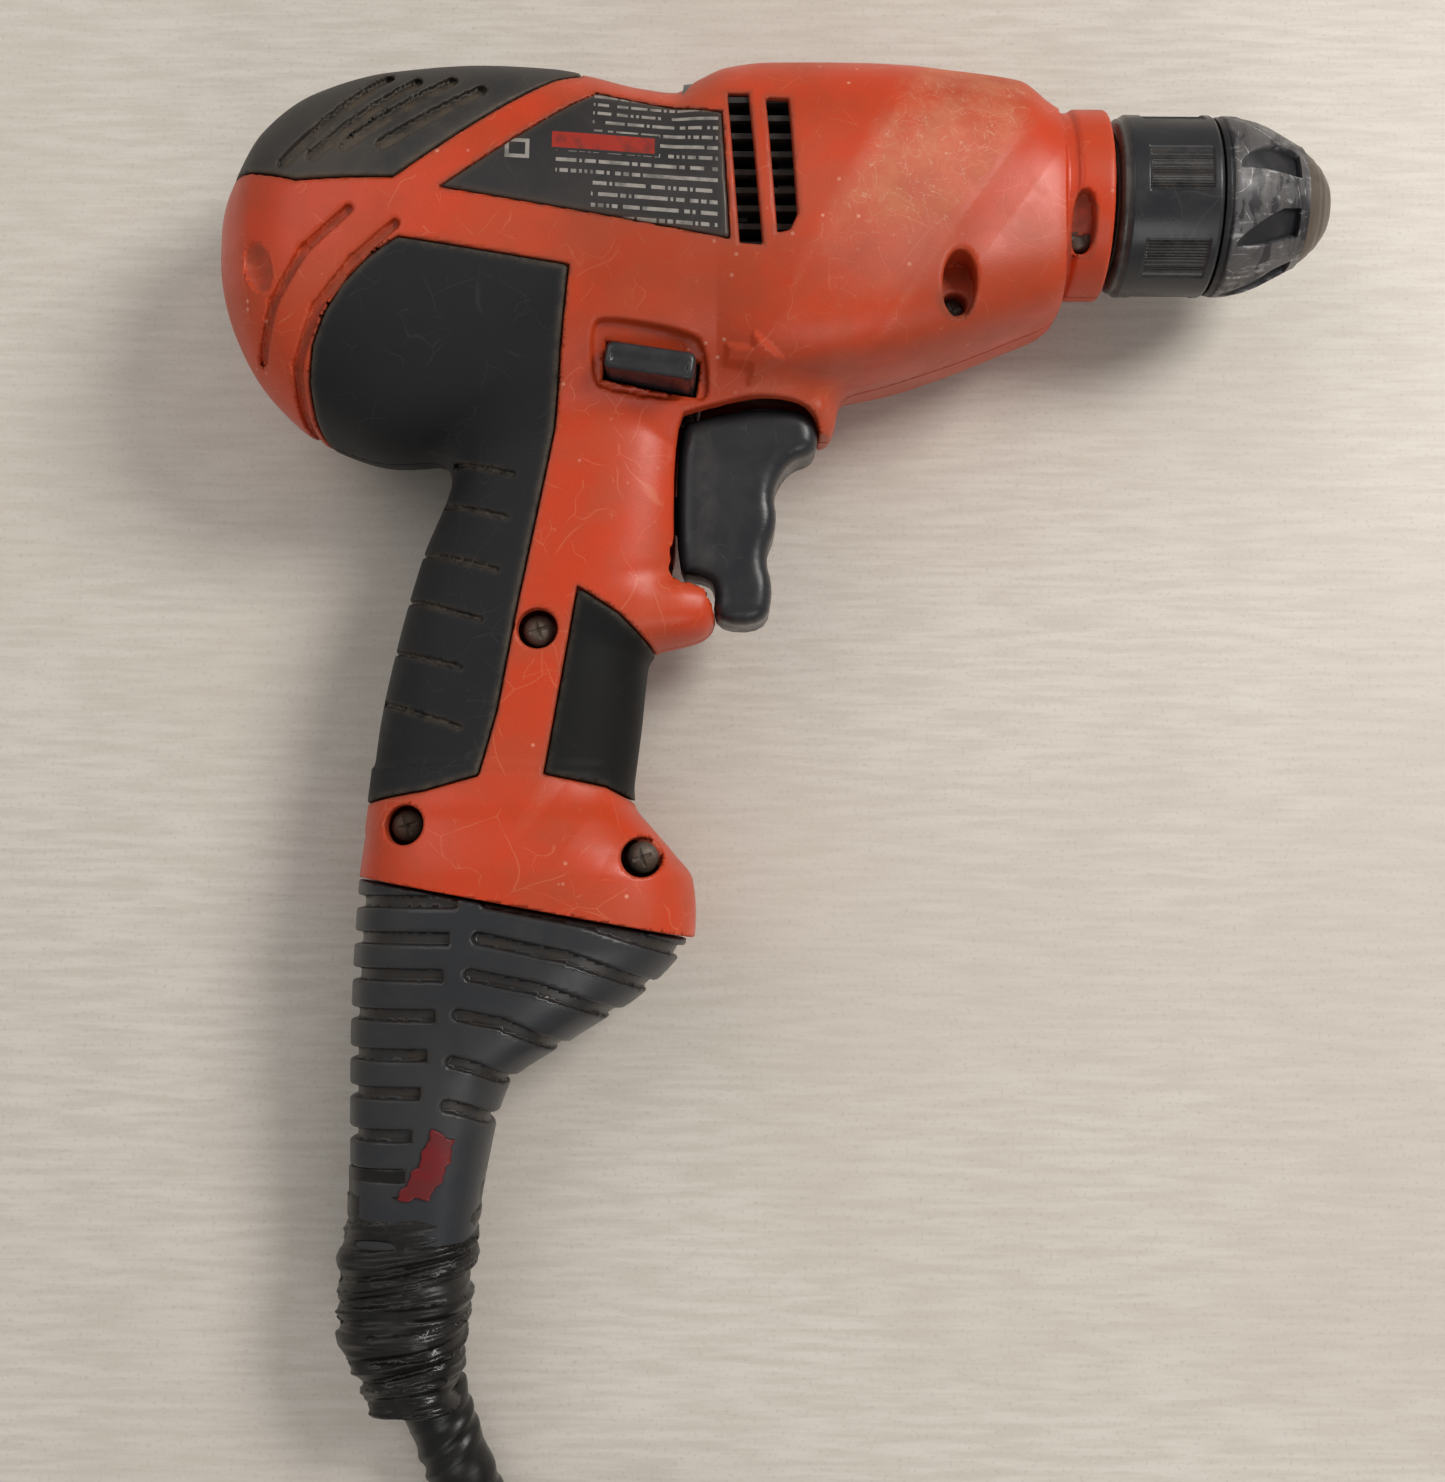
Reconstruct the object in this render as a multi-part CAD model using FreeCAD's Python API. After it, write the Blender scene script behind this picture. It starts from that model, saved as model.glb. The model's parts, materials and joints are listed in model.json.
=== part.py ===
import FreeCAD, Part
import math
import os

# A corded pistol-grip drill with a keyless chuck, lying on its left side.
# Design frame, mm: X along the spindle to the nose, Y up the drill, Z to its right side,
# with the spindle axis on X and the front of the housing's collar at X = 0.
# Each file is written in the lying frame: tilted to rest on the barrel and the grip's foot,
# with the middle of the drill's footprint at the origin.

# Housing, overall
barrel_length = 210.0
barrel_top = 30.0
barrel_width = 69.0
barrel_power = 2.5              # exponent of the rounded cross-section
wall = 3.0
pad_depth = 1.6                 # thickness of the soft overmould
grip_width = 38.0
grip_depth = 59.0
grip_power = 2.6
foot_width = 52.0
collar_radius = 22.3
neck_radius = 21.4
collar_length = 7.0
neck_length = 5.5

# Barrel sections: distance behind the collar, top, bottom and half width as shares
barrel_sections = [
    (0.055, 0.84, -27.0, 0.70),
    (0.095, 0.95, -31.5, 0.78),
    (0.180, 0.99, -39.0, 0.90),
    (0.285, 1.04, -45.5, 0.955),
    (0.390, 1.03, -49.5, 0.975),
    (0.520, 0.94, -53.0, 1.0),
    (0.600, 0.95, -57.0, 1.0),
    (0.700, 0.98, -61.5, 1.0),
    (0.800, 0.92, -63.5, 0.985),
    (0.885, 0.75, -58.5, 0.89),
    (0.945, 0.42, -48.5, 0.70),
    (0.982, 0.02, -36.0, 0.42),
    (1.000, -0.27, -22.0, 0.15),
]
# Grip sections: height, rear face, share of the depth to the front face, share of the width
grip_sections = [
    (-30.0, -150.0, 0.90, 0.90),
    (-52.0, -151.5, 0.93, 0.98),
    (-68.0, -153.5, 0.97, 1.0),
    (-88.0, -160.7, 1.05, 1.0),
    (-110.0, -166.3, 1.0, 1.0),
    (-128.0, -169.8, 1.03, 1.0),
    (-146.0, -171.6, 1.03, 1.03),
]
# Foot of the grip and the cord boot below it: height, rear face, front face, half width
foot_sections = [
    (-141.0, -170.6, -113.5, 0.74),
    (-149.0, -172.0, -107.0, 0.90),
    (-162.0, -173.5, -96.0, 1.0),
    (-180.0, -174.6, -96.5, 1.0),
]
boot_sections = [
    (-158.0, -173.6, -94.5, 24.6),
    (-176.5, -174.6, -98.0, 24.4),
    (-188.0, -175.0, -107.5, 22.0),
    (-199.0, -175.2, -124.0, 18.8),
    (-210.0, -175.2, -139.0, 16.2),
    (-228.0, -175.0, -143.6, 13.8),
    (-247.0, -174.0, -146.5, 12.6),
]
foot_line_slope = 0.176         # the foot ends square to the leaning grip
foot_line_height = -192.3       # where that slanted plane crosses X = 0
boot_wall = 3.0
boot_lip = 4.0                  # how far the boot's rim reaches up inside the foot
boot_rim_gap = 0.2
boot_rim_wall = 2.0
boot_groove_width = 2.6
boot_core_inset = 2.0           # how deep the boot's grooves go
clamp_top = -158.0
clamp_bottom = -164.0
clamp_half_length = 8.0
clamp_split = 0.6               # half the gap between the clamp's two parts
clamp_screw_spacing = 6.2
clamp_screw_radius = 1.2
clamp_screw_head = 2.2
clamp_bridge_top = 7.0

# Motor
motor_height = -14.0
stator_radius = 27.0
stator_length = 38.0
stator_front = -112.0
pole_radius = 17.3
air_gap = 0.5
window_radius = 22.8
window_half_angle = 42.0
coil_overhang = 7.0
armature_slots = 12
armature_slot_depth = 7.5
armature_slot_width = 3.2
shaft_radius = 3.5
core_shaft_radius = 4.5
commutator_radius = 11.0
commutator_length = 12.0
commutator_bars = 24
fan_radius = 24.5
fan_front = -83.0
fan_length = 13.0
fan_blades = 11
fan_hub_radius = 8.0
bearing_radius = 9.5
bearing_width = 6.0
rear_bearing_front = -180.0
brush_width = 6.0
brush_height = 8.0
brush_length = 11.0
brush_gap = 0.15

# Gears: two straight-toothed stages
pressure_angle = math.radians(25.0)
addendum = 0.8                  # in modules
dedendum = 1.05
backlash = 0.07                 # taken off each tooth's thickness at the pitch circle
motor_module = 0.6
motor_teeth = 9
wheel_teeth = 39
spindle_module = 0.9
pinion_teeth = 9
spindle_teeth = 38
wheel_rear = -70.5
wheel_width = 6.0
spindle_gear_rear = -61.0
spindle_gear_width = 11.0
mesh_gap = 0.6                  # between a gear's side and whatever is beside it

# Gear case and spindle
case_rear = -72.0
case_cup_front = -43.5
case_wall = 2.6
case_front_wall = 4.0
case_hub_radius = 17.0
cover_thickness = 6.0
journal_radius = 4.0
bush_wall = 1.6
jack_radius = 3.0
running_gap = 0.05
spindle_radius = 6.0
spindle_bearing_radius = 14.0
spindle_bearing_width = 8.0
spindle_bearing_front = -13.0
spindle_flange_radius = 7.5
thread_radius = 4.75
thread_length = 12.0

# Chuck
chuck_front = 53.6
chuck_rear = 1.0
sleeve_radius = 21.2
rear_sleeve_front = 25.0
sleeve_gap = 0.5
front_sleeve_front = 46.5
socket_radius = 5.3
socket_rear = 17.5
screw_seat_radius = 4.8
jaw_angle = math.radians(16.0)
jaw_radius = 3.0
jaw_length = 27.0
jaw_tip_closed = 58.7
jaw_grip_closed = 0.75
jaw_grip_open = 5.5
jaw_flat_depth = 1.1            # from the jaw's centreline in to its gripping flat
jaw_fit = 0.06
jaw_count = 3
jaw_teeth = 9
jaw_teeth_start = 13.0          # behind the tip
jaw_teeth_pitch = 1.6
nut_rear = 27.0
nut_length = 8.0
nut_radius = 17.3
nut_gap = 0.3
sleeve_pads = 6
sleeve_ribs = 9
sleeve_rib_pitch = 2.7          # degrees
sleeve_wedges = 6
wedge_turn = 8.0
chuck_body_radius = 16.6
chuck_waist_radius = 11.9
chuck_neck_radius = 12.4
nose_base_radius = 15.6
nose_tip_radius = 9.2
sleeve_bore_radius = 18.3
sleeve_straight_front = 33.0    # the front sleeve is straight up to here, then curves in
chuck_screw_head_radius = 4.5
chuck_screw_shank_radius = 2.5

# Trigger, reverse bar and lock button
trigger_width = 21.0
trigger_travel = 6.5
trigger_gap = 0.5
trigger_back = -101.0
trigger_stem_radius = 2.5
switch_front = -112.0
switch_length = 30.0
switch_top = -57.0
switch_height = 34.0
switch_width = 20.0
spring_wire = 0.6
spring_turns = 5
bar_x = -106.7
bar_height = -46.4
bar_length = 20.5
bar_thickness = 6.6
bar_turn = -8.0
bar_travel = 4.0
bar_reach_right = 31.5
bar_reach_left = 27.0
lock_x = -122.0
lock_height = -72.0
lock_radius = 4.2
lock_travel = 2.5

# Screws: X, Y of each, its recess's floor and its length
screw_places = [(-37.3, -27.0), (-132.1, -105.5), (-161.2, -150.4), (-107.9, -157.2)]
screw_floor = 12.0
screw_length = 26.0
screw_radius = 1.9
screw_head_radius = 3.8
screw_head_height = 2.6
screw_recess_radius = 4.6
boss_radius = 6.4

# Cord, plug and tape
cord_radius = 3.7
sleeve_tape_radius = 8.4
knot_top = -242.0
knot_bottom = -284.0
coil_turns = 6
coil_columns = 2
coil_across = 11.0              # in cord diameters, at the middle of the bundle
# The tail's route from the coil's nearest outer turn: X, Y, and how far it has come down,
# as a share of the way from the coil's top turn to the ground
cord_tail_route = [(0.0, 0.0, 0.0), (26.0, 0.0, 0.19), (54.0, 3.4, 1.0), (80.0, 11.4, 1.0)]
tail_lift = 0.1                 # the tail's lowest point stands this far off the ground
tie_half_width = 4.5
tie_thickness = 1.3
plug_length = 38.0
plug_rear = 12.0
plug_half_width = 12.5
plug_height = 16.5
plug_relief_rear = 0.8          # how far the relief stands over the cord at its rear
plug_relief_front = 6.5
blade_thickness = 1.5
blade_reach = 17.0
blade_root = 4.0
blade_height = 4.2
blades_at = [(-6.35, 6.3), (6.35, 7.9)]     # each blade's place and width
# The cord's route after the boot: X and Y in the design frame, and height above the ground
cord_route = [(-158.0, -276.0, 16.0), (-148.0, -302.0, 9.8), (-137.0, -330.0, 8.7), (-140.0, -368.0, 3.8)]

rest_tilt = math.degrees(math.asin((barrel_width - foot_width) / 2 / 150.0))


def vec(x, y, z):
    return FreeCAD.Vector(x, y, z)


def box(x0, x1, y0, y1, z0, z1):
    return Part.makeBox(x1 - x0, y1 - y0, z1 - z0, vec(x0, y0, z0))


def rod(x0, x1, radius, y=0.0, z=0.0):
    return Part.makeCylinder(radius, x1 - x0, vec(x0, y, z), vec(1, 0, 0))


def ring(x0, x1, outer, inner, y=0.0, z=0.0):
    return rod(x0, x1, outer, y, z).cut(rod(x0 - 1, x1 + 1, inner, y, z))


def pin(x, y, radius, z0, z1):
    return Part.makeCylinder(radius, z1 - z0, vec(x, y, z0), vec(0, 0, 1))


def polygon_prism(points, z0, z1):
    corners = [vec(x, y, z0) for x, y in points]
    face = Part.Face(Part.makePolygon(corners + [corners[0]]))
    return face.extrude(vec(0, 0, z1 - z0))


def oval_wire(place, half_a, half_b, power, count=24):
    """Closed smooth wire; place(a, b) turns the section's own coordinates into a point."""
    points = []
    for step in range(count):
        angle = 2 * math.pi * step / count
        a = half_a * math.copysign(abs(math.cos(angle)) ** (2 / power), math.cos(angle))
        b = half_b * math.copysign(abs(math.sin(angle)) ** (2 / power), math.sin(angle))
        points.append(place(a, b))
    curve = Part.BSplineCurve()
    curve.interpolate(Points=points, PeriodicFlag=True)
    return Part.Wire(curve.toShape())


def barrel(inset):
    wires = []
    for share, top_share, bottom, width_share in barrel_sections:
        first = barrel_sections[0][0] * barrel_length
        reach = share * barrel_length
        x = -(first + inset + (reach - first) * (1 - 2 * inset / (barrel_length - first)))
        top = top_share * barrel_top - inset
        low = bottom + inset
        half = max(width_share * barrel_width / 2 - inset, 2.0)
        middle = (top + low) / 2
        height = max((top - low) / 2, 2.0)
        wires.append(oval_wire(lambda a, b: vec(x, middle + b, a), half, height, barrel_power))
    return Part.makeLoft(wires, True, False)


def upright(sections, inset, power):
    """Loft of level sections: height, rear face, front face and half width."""
    wires = []
    for y, rear, front, half in sections:
        middle = (rear + front) / 2
        reach = (front - rear) / 2 - inset
        wires.append(oval_wire(lambda a, b: vec(middle + a, y, b), reach, half - inset, power))
    return Part.makeLoft(wires, True, False)


def grip(inset):
    rows = []
    for y, rear, depth_share, width_share in grip_sections:
        rows.append((y, rear, rear + depth_share * grip_depth, width_share * grip_width / 2))
    return upright(rows, inset, grip_power)


def foot(inset):
    rows = []
    for y, rear, front, width_share in foot_sections:
        rows.append((y, rear, front, width_share * foot_width / 2))
    return upright(rows, inset, 3.0)


def below_foot_line(shift=0.0):
    """Everything under the slanted plane where the foot meets the boot."""
    def line(x):
        return foot_line_height - foot_line_slope * x + shift
    corners = [(-220, line(-220)), (-60, line(-60)), (-60, -300), (-220, -300)]
    return polygon_prism(corners, -60, 60)


def trigger_guard(inset):
    """Lip under the trigger, where the grip's front swells forward."""
    middle = -99.5
    sections = [(-122, 10.0, 15.5), (-110, 9.2, 15.5), (-99, 7.6, 14.5), (-93.5, 5.6, 12.5), (-92, 3.6, 10)]
    wires = []
    for x, reach, half in sections:
        wires.append(oval_wire(lambda a, b: vec(x, middle + b, a), half - inset, reach - inset, 2.6))
    return Part.makeLoft(wires, True, False)


def brow(inset):
    """Rounded brow over the trigger, under the gear case."""
    sections = [(-36, -120, -62, 22), (-48, -118, -64.5, 19), (-58, -116, -65.0, 16), (-62, -112, -67, 13)]
    wires = []
    for y, rear, front, half in sections:
        middle = (rear + front) / 2
        reach = (front - rear) / 2 - inset
        wires.append(oval_wire(lambda a, b: vec(middle + a, y, b), reach, half - inset, 3.2))
    return Part.makeLoft(wires, True, False)


def collar():
    neck = rod(-collar_length - neck_length, -collar_length, neck_radius)
    rim = rod(-collar_length, 0, collar_radius)
    edges = [edge for edge in rim.Edges if edge.Curve.TypeId == "Part::GeomCircle"]
    return neck.fuse(rim.makeFillet(1.4, edges))


def body(inset):
    solid = barrel(inset)
    for piece in (grip(inset), brow(inset), trigger_guard(inset), foot(inset)):
        solid = solid.fuse(piece)
    return solid.cut(below_foot_line(0 if inset == 0 else inset))


right_side = box(-260, 40, -300, 80, 0, 80)


def half_of(solid):
    return solid.common(right_side)


def mirrored(solid):
    return solid.mirror(vec(0, 0, 0), vec(0, 0, 1))


def groove_bar(start, end, width, bow):
    """Thin curved bar between two points, bowed sideways, standing along Z."""
    along = vec(end[0] - start[0], end[1] - start[1], 0)
    length = along.Length
    along.normalize()
    side = vec(-along.y, along.x, 0)
    first = vec(start[0], start[1], -60)
    last = vec(end[0], end[1], -60)
    middle = first + along * (length / 2) + side * bow
    half = side * (width / 2)

    def edge(a, b, c):
        return Part.Arc(a, b, c).toShape() if bow else Part.makeLine(a, c)
    edges = [edge(first + half, middle + half, last + half)]
    edges.append(Part.makeLine(last + half, last - half))
    edges.append(edge(last - half, middle - half, first - half))
    edges.append(Part.makeLine(first - half, first + half))
    return Part.Face(Part.Wire(edges)).extrude(vec(0, 0, 120))


rear_pad_outline = [(-163, -20), (-125, -26), (-129, -60), (-132.5, -78), (-137, -101), (-141, -124),
                    (-145, -139), (-157, -142.5), (-175, -146.5), (-182, -110), (-172, -84), (-186, -72),
                    (-184, -52), (-178, -34)]
front_pad_outline = [(-123, -96), (-114, -101.5), (-104, -111), (-101, -135), (-109, -146.5),
                     (-116.5, -141), (-130, -138.5)]
top_pad_outline = [(-200, 12), (-196, 34), (-124, 34), (-124, 23), (-129, 20.5), (-164.5, -6),
                   (-187, -5.5), (-203, 1.5)]
label_outline = [(-119, 16.5), (-91, 10.5), (-89, -19.5), (-154, -8.5)]
pad_grooves = [((-150.5, -66), (-138, -70)), ((-153.5, -76), (-139.5, -80)), ((-158, -87), (-141.5, -92)),
               ((-160.5, -98), (-145, -103.5)), ((-163.5, -110), (-149.5, -114.5)),
               ((-166, -122), (-149.5, -128))]
top_grooves = [((-190, -1), (-168, 21)), ((-183, 0), (-161, 18)), ((-175.5, 2), (-153, 18)),
               ((-167, 2), (-146, 15))]
vent_slots = [((-88, 16.5), (-84.3, -20.5)), ((-78.5, 15), (-76, -16))]
intake_slots = [((-165, -15), (-181, -41)), ((-176, -14), (-192, -36))]


def trigger_profile():
    top = [(-101, -56), (-96, -54.4), (-86, -52.2), (-73, -52.0)]
    nose = [(-69.3, -54), (-68, -58), (-69.3, -61.6)]
    fingers = [(-75.0, -65.5), (-77.9, -71.5), (-78.1, -79), (-79.6, -87), (-78.6, -94), (-80.6, -100)]
    base = [(-84, -102.2), (-91, -102.2), (-92, -93), (-96, -90.5), (-101, -90.5)]
    return top + nose + fingers + base


def trigger():
    half = trigger_width / 2
    points = trigger_profile()
    solid = polygon_prism(points, -half, half)
    front = [edge for edge in solid.Edges if edge.BoundBox.ZLength < 0.01 and edge.BoundBox.XMax > -92
             and edge.BoundBox.XMin > -92.5]
    solid = solid.makeFillet(2.6, front)
    stem = rod(switch_front - 4.0, trigger_back + 0.5, trigger_stem_radius, switch_axis_height())
    return solid.fuse(stem).removeSplitter()


def switch_axis_height():
    return switch_top - switch_height * 0.4


def trigger_well():
    """Room for the trigger and its travel, open to the front."""
    half = trigger_width / 2 + trigger_gap
    well = box(trigger_back - trigger_travel - trigger_gap, -60, -97, -56 - trigger_gap, -half, half)
    upper = box(-101, -67.2, -70, -52.0 + trigger_gap + 0.4, -half, half)
    lower = box(-92 - trigger_travel - trigger_gap, -60, -112, -92, -half, half)
    return well.fuse(upper).fuse(lower)


def screw_recess(x, y):
    return pin(x, y, screw_recess_radius, screw_floor + 1.0, 60)


def rib_ring(x0, x1, inner, hole_y, low):
    slab = box(x0, x1, low, 40, 0, 60).common(barrel(wall - 0.6))
    return slab.cut(rod(x0 - 1, x1 + 1, inner, hole_y))


def make_housing():
    outer = half_of(body(0))
    under_skin = half_of(body(pad_depth))
    inner = half_of(body(wall))
    shallow = half_of(body(0.8))
    shell = outer.cut(inner)
    skin = outer.cut(under_skin)
    pads = {}
    for name, outline, grooves, bow in (("rear_grip", rear_pad_outline, pad_grooves, -1.2),
                                        ("front_grip", front_pad_outline, [], 0),
                                        ("top_pad", top_pad_outline, top_grooves, 1.5)):
        window = polygon_prism(outline, -1, 60)
        pads[name] = skin.common(window)
        for start, end in grooves:
            bar = groove_bar(start, end, 1.6, bow).cut(shallow)
            pads[name] = pads[name].cut(bar)
        shell = shell.cut(skin.common(window))
    label_skin = outer.cut(half_of(body(0.4)))
    label = label_skin.common(polygon_prism(label_outline, -1, 60))
    shell = shell.fuse(half_of(collar()))
    # inside: ribs that hold the motor, the rear bearing and the gear case
    stator_rear = stator_front - stator_length
    for x in (stator_rear + 4, stator_front - 7):
        shell = shell.fuse(rib_ring(x, x + 2.5, stator_radius, motor_height, -48))
    shell = shell.fuse(rib_ring(rear_bearing_front - bearing_width - 1.5, rear_bearing_front, bearing_radius,
                                motor_height, -70))
    for x, y in screw_places:
        shell = shell.fuse(pin(x, y, boss_radius, 0, 24).common(outer))
    shell = shell.cut(rod(case_rear, 1, case_hub_radius))
    shell = shell.cut(trigger_well())
    for start, end in vent_slots:
        slot = groove_bar(start, end, 4.4, 0).common(box(-260, 40, -60, 60, 0, 60))
        shell = shell.cut(slot.cut(barrel(wall + 3)))
    for start, end in intake_slots:
        shell = shell.cut(groove_bar(start, end, 2.6, 2.0).cut(barrel(wall + 3)))
    right = shell.cut(label)
    left = mirrored(shell)
    for x, y in screw_places:
        right = right.cut(screw_recess(x, y)).cut(pin(x, y, screw_radius + 0.3, -1, 30))
        left = left.cut(pin(x, y, screw_radius, screw_floor - screw_length, 1))
    bar_hole = reverse_bar_hole()
    right = right.cut(bar_hole)
    left = left.cut(bar_hole)
    left = left.cut(pin(lock_x, lock_height, lock_radius + 0.3, -40, 0))
    found = {"housing_right": right, "housing_left": left, "rating_label": label}
    for name, solid in pads.items():
        found[name + "_right"] = solid.cut(bar_hole)
        found[name + "_left"] = mirrored(solid)
    found["rear_grip_left"] = found["rear_grip_left"].cut(pin(lock_x, lock_height, lock_radius + 0.3, -40, 0))
    return found


def turned_box(length, thickness, z0, z1):
    block = box(-length / 2, length / 2, -thickness / 2, thickness / 2, z0, z1)
    block.rotate(vec(0, 0, 0), vec(0, 0, 1), bar_turn)
    block.translate(vec(bar_x, bar_height, 0))
    return block


def reverse_bar_hole():
    return turned_box(bar_length + 0.8, bar_thickness + 0.8, -45, 45)


def reverse_bar():
    solid = turned_box(bar_length, bar_thickness, -bar_reach_left, bar_reach_right)
    waist = turned_box(bar_length + 2, bar_thickness + 2, -15, 15)
    core = turned_box(bar_length * 0.5, bar_thickness - 1.6, -15.5, 15.5)
    return solid.cut(waist).fuse(core).removeSplitter()


def sector(x0, x1, outer, inner, start, end, y=0.0, z=0.0):
    """Part of a ring about an axis along X, between two angles in degrees from +Z toward +Y."""
    solid = Part.makeCylinder(outer, x1 - x0, vec(0, 0, 0), vec(0, 0, 1), end - start)
    solid = solid.cut(Part.makeCylinder(inner, x1 - x0 + 2, vec(0, 0, -1)))
    solid.rotate(vec(0, 0, 0), vec(0, 0, 1), 180 - end)
    solid.rotate(vec(0, 0, 0), vec(0, 1, 0), 90)
    solid.translate(vec(x0, y, z))
    return solid


def make_stator():
    rear = stator_front - stator_length
    core = ring(rear, stator_front, stator_radius, pole_radius, motor_height)
    for start in (-window_half_angle, 180 - window_half_angle):
        window = sector(rear - 1, stator_front + 1, window_radius, pole_radius - 1, start,
                        start + 2 * window_half_angle, motor_height)
        core = core.cut(window)
    coils = []
    for start in (0, 180):
        long = sector(rear - coil_overhang, stator_front + coil_overhang, window_radius - 0.2, pole_radius + 0.9,
                      start + 3, start + 177, motor_height)
        pole = sector(rear - 0.3, stator_front + 0.3, window_radius + 1, pole_radius - 1,
                      start + window_half_angle - 2, start + 182 - window_half_angle, motor_height)
        coils.append(long.cut(pole))
    return core, Part.makeCompound(coils)


def armature_slot(index, x0, x1, width, tip):
    """One winding slot, open to the core's rim."""
    reach = pole_radius - air_gap
    block = box(x0, x1, motor_height + reach - armature_slot_depth, motor_height + tip, -width / 2, width / 2)
    block.rotate(vec(0, motor_height, 0), vec(1, 0, 0), 360.0 * index / armature_slots)
    return block


def make_armature():
    rear = stator_front - stator_length
    reach = pole_radius - air_gap
    core = ring(rear, stator_front, reach, core_shaft_radius, motor_height)
    windings = None
    for x0, x1 in ((rear - 9, rear), (stator_front, stator_front + 8)):
        bell = ring(x0, x1, reach - 1.6, core_shaft_radius + 1.2, motor_height)
        edges = [edge for edge in bell.Edges if edge.Length > 2 * math.pi * (reach - 2)]
        bell = bell.makeFillet(2.4, edges)
        windings = bell if windings is None else windings.fuse(bell)
    for index in range(armature_slots):
        core = core.cut(armature_slot(index, rear - 1, stator_front + 1, armature_slot_width, reach + 1))
        filled = armature_slot(index, rear - 1, stator_front + 1, armature_slot_width - 0.2, reach - 1)
        windings = windings.fuse(filled)
    commutator_rear = rear - 12 - commutator_length
    commutator = ring(commutator_rear, commutator_rear + commutator_length, commutator_radius, core_shaft_radius,
                      motor_height)
    riser = ring(commutator_rear + commutator_length - 2.5, commutator_rear + commutator_length,
                 commutator_radius + 1.2, commutator_radius - 1, motor_height)
    commutator = commutator.fuse(riser)
    for index in range(commutator_bars):
        cut = box(commutator_rear - 1, commutator_rear + commutator_length + 1,
                  motor_height + commutator_radius - 0.8, motor_height + commutator_radius + 3, -0.3, 0.3)
        cut.rotate(vec(0, motor_height, 0), vec(1, 0, 0), 360.0 * (index + 0.5) / commutator_bars)
        commutator = commutator.cut(cut)
    return core, windings, commutator


def commutator_middle():
    return stator_front - stator_length - 12 - commutator_length / 2 - 1.2


def make_brushes():
    x = commutator_middle()
    start = commutator_radius + brush_gap
    holders = []
    brushes = []
    springs = []
    for sign in (1, -1):
        y0 = motor_height + sign * start
        y1 = motor_height + sign * (start + brush_length)
        low, high = min(y0, y1), max(y0, y1)
        tip_side = box(x - brush_width / 2, x + brush_width / 2, low, high, -brush_height / 2, brush_height / 2)
        brushes.append(tip_side)
        tube_low = motor_height + sign * (start + 2.5)
        tube_high = motor_height + sign * (start + brush_length + 3.0)
        low, high = min(tube_low, tube_high), max(tube_low, tube_high)
        outside = box(x - brush_width / 2 - 1.3, x + brush_width / 2 + 1.3, low, high,
                      -brush_height / 2 - 1.3, brush_height / 2 + 1.3)
        inside = box(x - brush_width / 2, x + brush_width / 2, low - 1, high + 1,
                     -brush_height / 2, brush_height / 2)
        holders.append(outside.cut(inside))
        coil_low = min(y1, y1 + sign * 2.6)
        spring = Part.makeCylinder(2.4, 2.6, vec(x, coil_low, 0), vec(0, 1, 0))
        springs.append(spring.cut(Part.makeCylinder(1.4, 4, vec(x, coil_low - 0.5, 0), vec(0, 1, 0))))
    return [Part.makeCompound(group) for group in (holders, brushes, springs)]


def make_fan():
    rear = fan_front - fan_length
    plate = rod(rear, rear + 1.4, fan_radius, motor_height)
    hub = rod(rear, fan_front, fan_hub_radius, motor_height)
    fan = plate.fuse(hub)
    for index in range(fan_blades):
        blade = box(rear + 1, fan_front - 2, motor_height + fan_hub_radius - 1,
                    motor_height + fan_radius - 0.6, -0.7, 0.7)
        blade.rotate(vec(0, motor_height + fan_hub_radius, 0), vec(1, 0, 0), 28)
        blade.rotate(vec(0, motor_height, 0), vec(1, 0, 0), 360.0 * index / fan_blades)
        fan = fan.fuse(blade.common(rod(rear, fan_front, fan_radius - 0.3, motor_height)))
    return fan.cut(rod(rear - 1, fan_front + 1, core_shaft_radius, motor_height)).removeSplitter()


def make_baffle():
    x = fan_front - fan_length - 4
    plate = box(x, x + 2, -44, 40, -60, 60).common(barrel(wall + 0.2))
    return plate.cut(rod(x - 1, x + 3, pole_radius, motor_height))


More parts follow.
